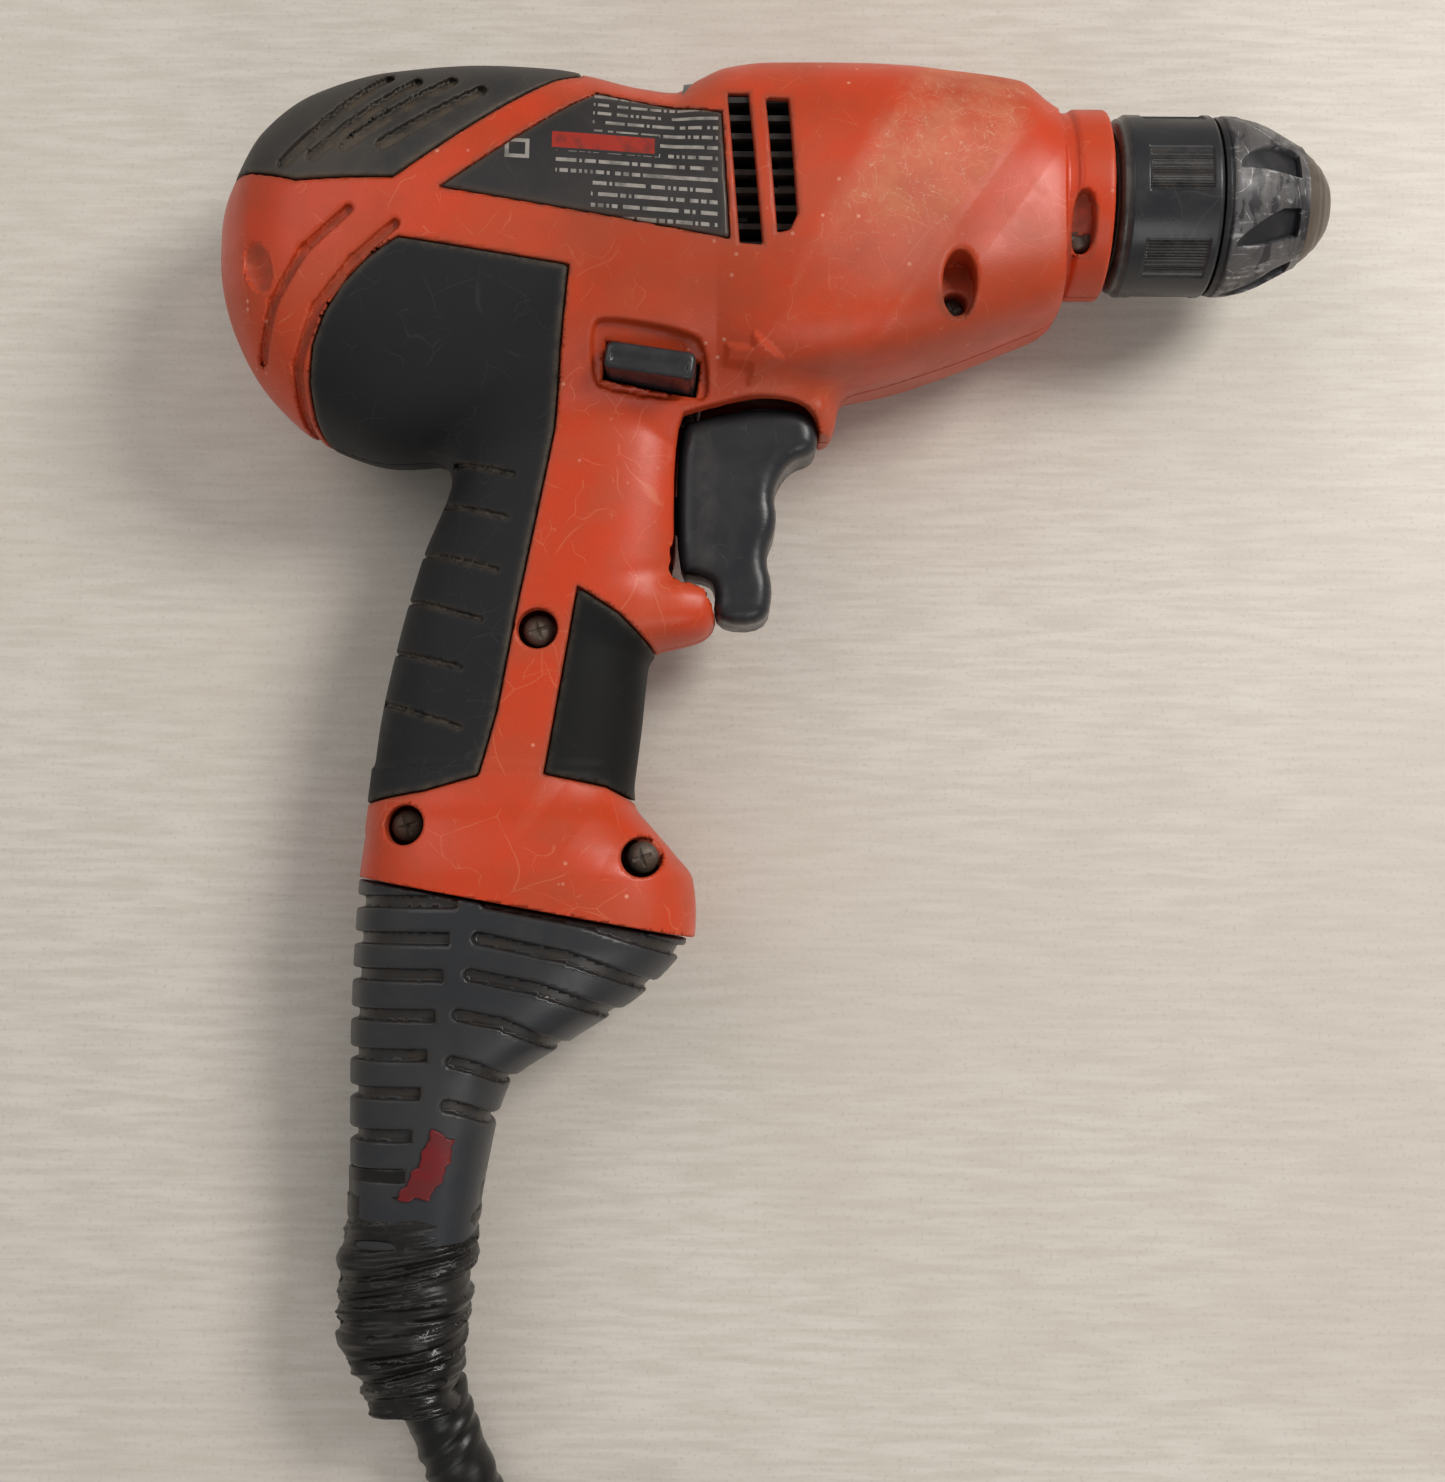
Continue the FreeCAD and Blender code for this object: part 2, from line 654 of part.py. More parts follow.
def involute_wheel(teeth, module, width, bore, start_x, turn):
    """Spur gear about X with involute flanks; turn is the angle of a tooth from +Z toward +Y."""
    pitch = module * teeth / 2
    base = pitch * math.cos(pressure_angle)
    tip = pitch + addendum * module
    root = pitch - dedendum * module
    involute_angle = math.tan(pressure_angle) - pressure_angle
    half_tooth = math.pi / (2 * teeth) - backlash / 2 / pitch + involute_angle

    def flank(radius, side, tooth):
        if radius <= base:
            away = 0.0
        else:
            roll = math.sqrt((radius / base) ** 2 - 1)
            away = roll - math.atan(roll)
        angle = tooth + side * (half_tooth - away)
        return vec(radius * math.cos(angle), radius * math.sin(angle), 0)

    low = max(base, root)
    radii = [low + (tip - low) * step / 4.0 for step in range(5)]
    edges = []
    for index in range(teeth):
        tooth = turn + 2 * math.pi * index / teeth
        following = tooth + 2 * math.pi / teeth
        rising = Part.BSplineCurve()
        rising.interpolate(Points=[flank(radius, -1, tooth) for radius in radii])
        falling = Part.BSplineCurve()
        falling.interpolate(Points=[flank(radius, 1, tooth) for radius in reversed(radii)])
        crown = vec(tip * math.cos(tooth), tip * math.sin(tooth), 0)
        edges.append(rising.toShape())
        edges.append(Part.Arc(flank(tip, -1, tooth), crown, flank(tip, 1, tooth)).toShape())
        edges.append(falling.toShape())
        last = flank(low, 1, tooth)
        first = flank(low, -1, following)
        if root < base:
            foot_last = last * (root / last.Length)
            foot_first = first * (root / first.Length)
            edges.append(Part.makeLine(last, foot_last))
        else:
            foot_last = last
            foot_first = first
        middle = (tooth + following) / 2
        valley = vec(root * math.cos(middle), root * math.sin(middle), 0)
        edges.append(Part.Arc(foot_last, valley, foot_first).toShape())
        if root < base:
            edges.append(Part.makeLine(foot_first, first))
    solid = Part.Face(Part.Wire(edges)).extrude(vec(0, 0, width))
    if bore:
        solid = solid.cut(Part.makeCylinder(bore, width + 2, vec(0, 0, -1)))
    return solid, start_x


def stand_on_x(item, y, z):
    """Turn a wheel drawn flat so that its own Z runs along +X, its X along +Z and its Y along -Y."""
    solid, start_x = item
    placed = solid.copy()
    placed.rotate(vec(0, 0, 0), vec(0, 1, 0), 90)
    placed.rotate(vec(0, 0, 0), vec(1, 0, 0), 180)
    placed.translate(vec(start_x, y, z))
    return placed


def angle_toward(start, end):
    """Direction from one shaft to another, each given as (y, z), in a wheel's own flat angles."""
    return math.atan2(-(end[0] - start[0]), end[1] - start[1])


def jack_place():
    """The jackshaft's y and z, from the two centre distances."""
    first = motor_module * (motor_teeth + wheel_teeth) / 2
    second = spindle_module * (pinion_teeth + spindle_teeth) / 2
    y = (second ** 2 - first ** 2 + motor_height ** 2) / (2 * motor_height)
    return y, -math.sqrt(second ** 2 - y ** 2)


jack_y, jack_z = jack_place()
wheel_front = wheel_rear + wheel_width
spindle_gear_front = spindle_gear_rear + spindle_gear_width


def make_gears():
    motor = (motor_height, 0.0)
    jack = (jack_y, jack_z)
    spindle = (0.0, 0.0)
    toward_motor = angle_toward(jack, motor)
    wheel_turn = toward_motor + math.pi / wheel_teeth
    wheel = stand_on_x(involute_wheel(wheel_teeth, motor_module, wheel_width, jack_radius, wheel_rear, wheel_turn),
                       jack_y, jack_z)
    for index in range(5):
        hole = rod(wheel_rear - 1, wheel_front + 1, 1.9, jack_y, jack_z + 7.4)
        hole.rotate(vec(0, jack_y, jack_z), vec(1, 0, 0), 72.0 * index)
        wheel = wheel.cut(hole)
    motor_pinion = stand_on_x(involute_wheel(motor_teeth, motor_module, wheel_width + 1.4, 0, wheel_rear - 1.0,
                                             angle_toward(motor, jack)), motor_height, 0)
    pinion_rear = wheel_front
    pinion = stand_on_x(involute_wheel(pinion_teeth, spindle_module, spindle_gear_front + 0.8 - pinion_rear, 0,
                                       pinion_rear, angle_toward(jack, spindle)), jack_y, jack_z)
    gear_turn = angle_toward(spindle, jack) + math.pi / spindle_teeth
    gear = stand_on_x(involute_wheel(spindle_teeth, spindle_module, spindle_gear_width, spindle_radius,
                                     spindle_gear_rear, gear_turn), 0, 0)
    web = ring(spindle_gear_rear - 1, spindle_gear_rear + 2.5, 14.0, spindle_radius + 3.5)
    gear = gear.cut(web)
    shaft = rod(case_rear - cover_thickness + 0.5, case_cup_front - 0.5, jack_radius, jack_y, jack_z)
    return wheel, motor_pinion, pinion.fuse(shaft), gear


def make_motor_shaft(motor_pinion):
    rear = rear_bearing_front - bearing_width
    shaft = rod(rear, case_rear + 0.6, shaft_radius, motor_height)
    middle = rod(rear_bearing_front + 1.0, case_rear - cover_thickness - 1.0, core_shaft_radius, motor_height)
    neck = rod(case_rear + 0.4, wheel_rear - 0.8, motor_module * motor_teeth / 2 - dedendum * motor_module,
               motor_height)
    return shaft.fuse(middle).fuse(neck).fuse(motor_pinion).removeSplitter()


def bearing(front, width, outer, inner, y=0.0):
    """Outer ring with its balls, and inner ring; the balls stand clear of both rings' bands."""
    rear = front - width
    band = (outer - inner) * 0.28
    shell = ring(rear, front, outer, outer - band, y)
    core = ring(rear, front, inner + band, inner, y)
    middle = (outer + inner) / 2
    ball_radius = (outer - inner) / 2 - band - 0.1
    cage = ring(rear + 0.4, rear + 0.9, outer - band, inner + band + 0.3, y)
    shell = shell.fuse(cage)
    balls = []
    count = int(math.pi * middle / ball_radius / 1.4)
    for index in range(count):
        angle = 2 * math.pi * index / count
        centre = vec((rear + front) / 2, y + middle * math.cos(angle), middle * math.sin(angle))
        balls.append(Part.makeSphere(ball_radius, centre))
    return shell, core, balls


def make_bearings():
    spindle_outer, spindle_inner, spindle_balls = bearing(spindle_bearing_front, spindle_bearing_width,
                                                          spindle_bearing_radius, spindle_radius)
    front_outer, front_inner, front_balls = bearing(case_rear, bearing_width, bearing_radius, shaft_radius,
                                                    motor_height)
    rear_outer, rear_inner, rear_balls = bearing(rear_bearing_front, bearing_width, bearing_radius, shaft_radius,
                                                 motor_height)
    return {
        "spindle_bearing": Part.makeCompound([spindle_outer] + spindle_balls),
        "spindle_bearing_inner_ring": spindle_inner,
        "motor_bearing_front": Part.makeCompound([front_outer] + front_balls),
        "motor_bearing_rear": Part.makeCompound([rear_outer] + rear_balls),
        "motor_bearing_inner_rings": Part.makeCompound([front_inner, rear_inner]),
    }


def spindle_cavity_radius():
    return spindle_module * spindle_teeth / 2 + addendum * spindle_module + mesh_gap


def jack_cavity_radius():
    return motor_module * wheel_teeth / 2 + addendum * motor_module + mesh_gap


def make_gear_case():
    main = spindle_cavity_radius()
    side = jack_cavity_radius()
    cup = rod(case_rear, case_cup_front, main + case_wall)
    cup = cup.fuse(rod(case_rear, case_cup_front, side + case_wall * 0.7, jack_y, jack_z))
    cup = cup.fuse(rod(case_cup_front - 0.5, -0.6, case_hub_radius))
    inner_front = case_cup_front - case_front_wall
    room = rod(case_rear - 1, inner_front, main).fuse(rod(case_rear - 1, inner_front, side, jack_y, jack_z))
    case = cup.cut(room)
    case = case.cut(rod(inner_front - 1, 0, spindle_radius + 1.0))
    case = case.cut(rod(spindle_bearing_front - spindle_bearing_width, 0, spindle_bearing_radius))
    case = case.cut(rod(inner_front - 1, case_cup_front + 1, jack_radius + bush_wall, jack_y, jack_z))
    seal = ring(spindle_bearing_front, -1.2, spindle_bearing_radius, spindle_flange_radius + 0.5)
    cover_rear = case_rear - cover_thickness
    cover = rod(cover_rear, case_rear, main + case_wall)
    cover = cover.fuse(rod(cover_rear, case_rear, side + case_wall * 0.7, jack_y, jack_z))
    cover = cover.fuse(rod(cover_rear, case_rear, bearing_radius + 3, motor_height))
    boss_front = spindle_gear_rear - mesh_gap - 0.6
    cover = cover.fuse(rod(case_rear - 1, boss_front, journal_radius + bush_wall + 1.9))
    cover = cover.cut(rod(case_rear - 1.5, boss_front + 1, journal_radius + bush_wall))
    cover = cover.cut(rod(cover_rear - 1, case_rear + 1, bearing_radius, motor_height))
    cover = cover.cut(rod(cover_rear - 1, case_rear + 1, jack_radius + bush_wall, jack_y, jack_z))
    bushes = [ring(case_rear - 0.5, boss_front, journal_radius + bush_wall, journal_radius + running_gap)]
    for x0, x1 in ((cover_rear, case_rear), (inner_front, case_cup_front)):
        bushes.append(ring(x0, x1, jack_radius + bush_wall, jack_radius + running_gap, jack_y, jack_z))
    return case, cover, seal, Part.makeCompound(bushes)


def make_spindle():
    spindle = rod(case_rear + 0.6, spindle_gear_rear, journal_radius)
    spindle = spindle.fuse(rod(spindle_gear_rear - 0.4, spindle_bearing_front + 0.5, spindle_radius))
    shoulder = ring(spindle_gear_front, spindle_gear_front + 1.6, spindle_radius + 2.5, spindle_radius - 1)
    spindle = spindle.fuse(shoulder)
    spindle = spindle.fuse(rod(spindle_bearing_front, chuck_rear, spindle_flange_radius))
    spindle = spindle.fuse(rod(chuck_rear - 0.5, chuck_rear + thread_length, thread_radius))
    bore = rod(chuck_rear - 5, chuck_rear + thread_length + 1, chuck_screw_shank_radius)
    return spindle.cut(bore).removeSplitter()


def jaw_path():
    """Radius of a jaw's centreline at its tip when closed, and how far it slides to open."""
    closed = jaw_grip_closed + jaw_flat_depth
    slide = (jaw_grip_open - jaw_grip_closed) / math.sin(jaw_angle)
    return closed, slide


def jaw_rod(radius, tip_x, tip_radius, length, ahead=0.0):
    direction = vec(-math.cos(jaw_angle), math.sin(jaw_angle), 0)
    start = vec(tip_x, tip_radius, 0) - direction * ahead
    return Part.makeCylinder(radius, length + ahead, start, direction)


def make_jaw():
    closed, slide = jaw_path()
    jaw = jaw_rod(jaw_radius, jaw_tip_closed, closed, jaw_length, 6)
    jaw = jaw.cut(box(jaw_tip_closed, jaw_tip_closed + 20, -20, 30, -20, 20))
    jaw = jaw.cut(box(-50, 90, -40, jaw_grip_closed, -20, 20))
    for sign in (1, -1):
        side = box(-50, 90, -40, 40, 0, 40)
        side.rotate(vec(0, 0, 0), vec(1, 0, 0), 60)
        side.translate(vec(0, 0.2, 0))
        if sign < 0:
            side = side.mirror(vec(0, 0, 0), vec(0, 0, 1))
        jaw = jaw.cut(side)
    for index in range(jaw_teeth):
        x = jaw_tip_closed - jaw_teeth_start - jaw_teeth_pitch * index
        outside = closed + (jaw_tip_closed - x) * math.tan(jaw_angle) + jaw_radius / math.cos(jaw_angle)
        notch = box(x, x + 0.8, outside - 0.7, outside + 5, -5, 5)
        jaw = jaw.cut(notch)
    back = vec(-math.cos(jaw_angle), math.sin(jaw_angle), 0) * slide
    jaw.translate(back)
    return jaw


def revolve_profile(points):
    """Solid of revolution about X from (x, radius) corners, closed on the axis."""
    corners = [vec(x, radius, 0) for x, radius in points]
    face = Part.Face(Part.makePolygon(corners + [corners[0]]))
    return face.revolve(vec(0, 0, 0), vec(1, 0, 0), 360)


def curved_front(x0, x1, r0, r1, bulge):
    """Solid about X whose side is one arc from (x0, r0) to (x1, r1)."""
    start = vec(x0, r0, 0)
    end = vec(x1, r1, 0)
    along = end - start
    side = vec(-along.y, along.x, 0)
    side.normalize()
    middle = (start + end) * 0.5 + side * bulge
    edges = [Part.Arc(start, middle, end).toShape(), Part.makeLine(end, vec(x1, 0, 0)),
             Part.makeLine(vec(x1, 0, 0), vec(x0, 0, 0)), Part.makeLine(vec(x0, 0, 0), start)]
    return Part.Face(Part.Wire(edges)).revolve(vec(0, 0, 0), vec(1, 0, 0), 360)


def make_chuck():
    closed, slide = jaw_path()
    nut_front = nut_rear + nut_length
    body_radius = chuck_body_radius
    waist = chuck_waist_radius
    neck = chuck_neck_radius
    block = rod(chuck_rear, nut_rear - 0.3, body_radius)
    block = block.fuse(rod(nut_rear - 0.5, nut_front + 0.3, waist))
    block = block.fuse(rod(nut_front + 0.3, front_sleeve_front + 0.5, neck))
    nose = curved_front(front_sleeve_front + 0.3, chuck_front, nose_base_radius, nose_tip_radius, 1.0)
    block = block.fuse(nose)
    block = block.cut(rod(socket_rear, chuck_front + 1, socket_radius))
    block = block.cut(rod(chuck_rear + thread_length + 0.2, socket_rear + 1, screw_seat_radius))
    block = block.cut(rod(chuck_rear - 1, chuck_rear + thread_length + 1, thread_radius))
    tunnel = jaw_rod(jaw_radius + jaw_fit, jaw_tip_closed, closed, jaw_length + slide + 1.5, 4)
    jaw = make_jaw()
    jaws = []
    for index in range(jaw_count):
        turn = 360.0 * index / jaw_count
        hole = tunnel.copy()
        hole.rotate(vec(0, 0, 0), vec(1, 0, 0), turn)
        block = block.cut(hole)
        each = jaw.copy()
        each.rotate(vec(0, 0, 0), vec(1, 0, 0), turn)
        jaws.append(each)
    screw = rod(chuck_rear + thread_length + 0.4, chuck_rear + thread_length + 3.4, chuck_screw_head_radius)
    screw = screw.fuse(rod(chuck_rear - 4.8, chuck_rear + thread_length + 0.6, chuck_screw_shank_radius))
    cross = box(chuck_rear + thread_length + 1.8, chuck_rear + thread_length + 5, -2.6, 2.6, -0.5, 0.5)
    screw = screw.cut(cross)
    cross.rotate(vec(0, 0, 0), vec(1, 0, 0), 90)
    screw = screw.cut(cross)
    # sleeves
    rear_sleeve = rod(chuck_rear + 0.6, rear_sleeve_front, sleeve_radius)
    rims = [edge for edge in rear_sleeve.Edges if edge.Curve.TypeId == "Part::GeomCircle"]
    rear_sleeve = rear_sleeve.makeFillet(1.2, rims)
    rear_sleeve = rear_sleeve.cut(rod(chuck_rear, 6.0, body_radius))
    rear_sleeve = rear_sleeve.cut(rod(5.5, rear_sleeve_front + 1, sleeve_bore_radius))
    ledge = ring(5.0, 8.0, sleeve_bore_radius + 0.3, body_radius)
    rear_sleeve = rear_sleeve.fuse(ledge)
    for index in range(sleeve_pads):
        middle = 360.0 * (index + 0.5) / sleeve_pads
        for rib in range(sleeve_ribs):
            angle = middle + (rib - (sleeve_ribs - 1) / 2) * sleeve_rib_pitch
            cut = box(8.5, rear_sleeve_front - 2.5, sleeve_radius - 0.5, sleeve_radius + 2, -0.28, 0.28)
            cut.rotate(vec(0, 0, 0), vec(1, 0, 0), angle)
            rear_sleeve = rear_sleeve.cut(cut)
    front_rear = rear_sleeve_front + sleeve_gap
    straight = rod(front_rear, sleeve_straight_front, sleeve_radius)
    bullet = curved_front(sleeve_straight_front, front_sleeve_front, sleeve_radius, nose_base_radius, 0.9)
    front_sleeve = straight.fuse(bullet)
    front_sleeve = front_sleeve.cut(rod(front_rear - 1, nut_front, nut_radius))
    front_sleeve = front_sleeve.cut(rod(nut_front - 1, front_sleeve_front + 1, neck + nut_gap))
    for index in range(sleeve_wedges):
        wedge = polygon_prism([(31, -0.8), (44.5, -3.6), (45.2, 0), (44.5, 3.6), (31, 2.2)], 0, 30)
        scoop = wedge.cut(curved_front(20, front_sleeve_front + 3, sleeve_radius + 0.2, 13.2, 1.2))
        scoop.rotate(vec(0, 0, 0), vec(1, 0, 0), 360.0 * index / sleeve_wedges + wedge_turn)
        front_sleeve = front_sleeve.cut(scoop)
    rear_bore = closed + (jaw_tip_closed - nut_rear) * math.tan(jaw_angle) + jaw_radius / math.cos(jaw_angle)
    front_bore = closed + (jaw_tip_closed - nut_front) * math.tan(jaw_angle) + jaw_radius / math.cos(jaw_angle)
    nut = revolve_profile([(nut_rear, rear_bore + nut_gap), (nut_rear, nut_radius), (nut_front, nut_radius),
                           (nut_front, front_bore + nut_gap)])
    return {"chuck_body": block, "chuck_screw": screw, "chuck_rear_sleeve": rear_sleeve,
            "chuck_front_sleeve": front_sleeve, "chuck_nut": nut}, jaws


def boot_outer(inset=0.0):
    return upright(boot_sections, inset, 2.7)


boot_end = boot_sections[-1][0]
boot_end_x = (boot_sections[-1][1] + boot_sections[-1][2]) / 2
cord_inner_top = (-148.0, -150.0)
rear_grooves = [(-165.5, -150.5), (-173.5, -152.5), (-181.8, -154.0), (-190.5, -155.5), (-199.5, -157.0),
                (-208.0, -158.5), (-217.5, -160.5), (-226.5, -162.0)]
front_grooves = [((-144.0, -166.5), (-98, -177.0)), ((-146.0, -174.5), (-100, -184.5)),
                 ((-148.0, -182.5), (-108, -191.5)), ((-150.0, -191.0), (-126, -198.5)),
                 ((-152.0, -201.5), (-138, -206.5)), ((-153.5, -211.5), (-140, -215.0))]


def make_boot():
    outer = boot_outer().common(below_foot_line(-0.3))
    room = boot_outer(boot_wall).cut(box(-220, -60, -300, -214, -60, 60))
    boot = outer.cut(room)
    rim_outer = foot(wall + boot_rim_gap)
    rim = rim_outer.cut(foot(wall + boot_rim_gap + boot_rim_wall)).common(below_foot_line(boot_lip))
    rim = rim.cut(below_foot_line(-0.8))
    boot = boot.fuse(rim)
    core = boot_outer(boot_core_inset)
    for y, spine in rear_grooves:
        slot = box(-190, spine, y - boot_groove_width / 2, y + boot_groove_width / 2, -60, 60)
        boot = boot.cut(slot.cut(core))
    for start, end in front_grooves:
        boot = boot.cut(groove_bar(start, end, boot_groove_width, 1.5).cut(core))
    return boot.cut(inner_cord())


def inner_cord():
    """The cord's straight run inside the boot and the foot, up to the clamp."""
    top = vec(cord_inner_top[0], cord_inner_top[1], 0)
    end = vec(boot_end_x, boot_end, 0)
    along = end - top
    long_rod = Part.makeCylinder(cord_radius, along.Length + 5, top, along)
    return long_rod.cut(box(-220, -60, -300, boot_end, -60, 60))


def make_clamp():
    middle = cord_inner_top[0] + (boot_end_x - cord_inner_top[0]) * 0.11
    rear = middle - clamp_half_length
    front = middle + clamp_half_length
    level = (clamp_top + clamp_bottom) / 2
    saddle_floor = -foot_width / 2 + wall + 0.6
    saddle = box(rear, front, clamp_bottom, clamp_top, saddle_floor, -clamp_split)
    bridge = box(rear, front, clamp_bottom, clamp_top, clamp_split, clamp_bridge_top)
    screws = []
    for side in (-clamp_screw_spacing, clamp_screw_spacing):
        x = middle + side
        shank = pin(x, level, clamp_screw_radius, -9, clamp_bridge_top + 0.2)
        head = pin(x, level, clamp_screw_head, clamp_bridge_top, clamp_bridge_top + 1.6)
        slot = box(x - 3, x + 3, level - 0.3, level + 0.3, clamp_bridge_top + 1.0, clamp_bridge_top + 2)
        screws.append(shank.fuse(head).cut(slot))
    rod_cut = inner_cord()
    pieces = []
    for piece in (saddle, bridge):
        piece = piece.cut(rod_cut)
        for side in (-clamp_screw_spacing, clamp_screw_spacing):
            piece = piece.cut(pin(middle + side, level, clamp_screw_radius, -9, clamp_bridge_top + 1))
        pieces.append(piece)
    return Part.makeCompound(pieces), Part.makeCompound(screws)


def make_screws():
    screws = []
    for x, y in screw_places:
        head = pin(x, y, screw_head_radius, screw_floor + 1.0, screw_floor + 1.0 + screw_head_height)
        top = [edge for edge in head.Edges if edge.BoundBox.ZMin > screw_floor + 2]
        head = head.makeFillet(1.0, top)
        shank = pin(x, y, screw_radius, screw_floor + 1.0 - screw_length, screw_floor + 1.5)
        screw = head.fuse(shank)
        deep = screw_floor + screw_head_height - 0.6
        for turn in (0, 90):
            slot = box(-2.2, 2.2, -0.45, 0.45, deep, deep + 4)
            slot.rotate(vec(0, 0, 0), vec(0, 0, 1), turn + 20)
            slot.translate(vec(x, y, 0))
            screw = screw.cut(slot)
        screws.append(screw)
    return Part.makeCompound(screws)


def make_switch():
    rear = switch_front - switch_length
    half = switch_width / 2
    block = box(rear, switch_front, switch_top - switch_height, switch_top, -half, half)
    edges = [edge for edge in block.Edges if edge.BoundBox.ZLength < 0.1]
    block = block.makeFillet(1.0, edges)
    y = switch_axis_height()
    block = block.cut(rod(switch_front - trigger_travel - 6, switch_front + 1, trigger_stem_radius + 0.3, y))
    for side in (-6, 0, 6):
        tab = box(rear - 5, rear + 1, switch_top - 12, switch_top - 6, side - 0.4, side + 0.4)
        block = block.fuse(tab)
    return block


def make_trigger_spring():
    length = trigger_back - switch_front - 0.4
    radius = trigger_stem_radius + 1.6
    pitch = (length - spring_wire) / spring_turns
    helix = Part.makeHelix(pitch, length - spring_wire, radius)
    side = spring_wire / 2
    corners = [vec(radius - side, 0, -side), vec(radius + side, 0, -side), vec(radius + side, 0, side),
               vec(radius - side, 0, side), vec(radius - side, 0, -side)]
    coil = Part.Wire(helix).makePipeShell([Part.makePolygon(corners)], True, True)
    coil.rotate(vec(0, 0, 0), vec(0, 1, 0), 90)
    coil.translate(vec(switch_front + 0.2 + spring_wire / 2, switch_axis_height(), 0))
    return coil


def make_lock_button():
    outer = -grip_width / 2 - 2.6
    stem = pin(lock_x, lock_height, lock_radius, outer, -grip_width / 2 + wall + 0.8)
    rims = [edge for edge in stem.Edges if edge.BoundBox.ZMax < outer + 0.1]
    stem = stem.makeFillet(0.8, rims)
    flange = pin(lock_x, lock_height, lock_radius + 1.4, -grip_width / 2 + wall + 0.7, -grip_width / 2 + wall + 2.0)
    return stem.fuse(flange)


knot_sections = [
    (-241.5, -176.6, -144.4, 13.8),
    (-250.0, -178.0, -145.2, 14.8),
    (-258.0, -177.6, -146.2, 14.4),
    (-266.0, -177.8, -146.8, 14.6),
    (-275.0, -173.5, -148.0, 12.6),
    (-284.0, -169.0, -149.0, 10.2),
]
patch_outline = [(-154.5, -218.5), (-149.8, -220.5), (-151.8, -229), (-155.5, -234), (-162.5, -234.3),
                 (-157.5, -225.5)]


def make_patch():
    skin = boot_outer(-0.3).cut(boot_outer()).common(box(-220, -60, -260, -190, 0, 60))
    return skin.common(polygon_prism(patch_outline, 0, 60))


def lie_down(shape):
    """Tip the drill so that the barrel's left side and the foot rest on the ground."""
    shape.rotate(vec(0, 0, 0), vec(1, 0, 0), rest_tilt)
    return shape


def lying_point(x, y, z):
    tilt = math.radians(rest_tilt)
    return vec(x, y * math.cos(tilt) - z * math.sin(tilt), y * math.sin(tilt) + z * math.cos(tilt))


def route_edges(points, report=""):
    """Straight runs joined by tangent arcs, each arc within 0.45 of the shorter run beside it."""
    edges = []
    start = points[0]
    for index in range(1, len(points) - 1):
        corner = points[index]
        before = points[index - 1] - corner
        after = points[index + 1] - corner
        reach = 0.45 * min(before.Length, after.Length)
        first = corner + before * (reach / before.Length)
        last = corner + after * (reach / after.Length)
        turn = math.pi - before.getAngle(after)
        radius = reach / math.tan(turn / 2)
        if report:
            print(f"{report} bend {index}: radius {radius:.1f} mm, turn {math.degrees(turn):.0f} deg")
        bisector = before * (1 / before.Length) + after * (1 / after.Length)
        bisector.normalize()
        depth = math.hypot(radius, reach) - radius
        edges.append(Part.LineSegment(start, first).toShape())
        edges.append(Part.Arc(first, corner + bisector * depth, last).toShape())
        start = last
    edges.append(Part.LineSegment(start, points[-1]).toShape())
    return edges


def tube(edges, radius):
    path = Part.Wire(edges)
    start = edges[0].valueAt(edges[0].FirstParameter)
    circle = Part.Wire(Part.makeCircle(radius, start, edges[0].tangentAt(edges[0].FirstParameter)))
    return path.makePipeShell([circle], True, True)


def make_cord(ground):
    start = lying_point(boot_end_x, boot_end, 0)
    points = [start] + [vec(x, y, ground + height) for x, y, height in cord_route]
    edges = route_edges(points, "cord")
    cord = tube(edges, cord_radius)
    length = sum(edge.Length for edge in edges)
    print(f"cord volume {cord.Volume:.0f}, section x length {math.pi * cord_radius ** 2 * length:.0f} mm3")
    tape = tube(edges[1:5], sleeve_tape_radius).cut(tube(edges, cord_radius))
    return cord, tape, points[-1]


def make_coil(ground, join):
    """Neat flat coil, its turns stacked three high in two columns, with the tail and the tie."""
    diameter = 2 * cord_radius
    layers = coil_turns / coil_columns
    outer_turn = cord_coil_radius()
    outer = outer_turn + cord_radius
    inner = outer - coil_columns * diameter
    height = layers * diameter
    centre = vec(join.x + outer_turn, join.y, ground)
    hole = Part.makeCylinder(inner, height + 2, centre - vec(0, 0, 1))
    ringed = Part.makeCylinder(outer, height, centre).cut(hole)
    rims = [edge for edge in ringed.Edges if edge.Curve.TypeId == "Part::GeomCircle"]
    coil = ringed.makeFillet(cord_radius * 0.6, rims)
    top_turn = height - cord_radius
    drop = top_turn - cord_radius - tail_lift
    tail_points = [centre + vec(x, y - outer_turn, top_turn - share * drop) for x, y, share in cord_tail_route]
    tail = tube(route_edges(tail_points, "tail"), cord_radius).cut(coil)
    band = box(inner - tie_thickness, outer + tie_thickness, -tie_half_width, tie_half_width, 0, height + 1.2)
    band = band.cut(box(inner, outer, -tie_half_width - 1, tie_half_width + 1, -1, height))
    band.rotate(vec(0, 0, 0), vec(0, 0, 1), 200)
    band.translate(centre)
    band = band.cut(coil)
    return coil, tail, band, tail_points


def cord_coil_radius():
    """Middle of the outer turns, half a bundle outside the middle of them all."""
    return (coil_across + coil_columns - 1) * cord_radius


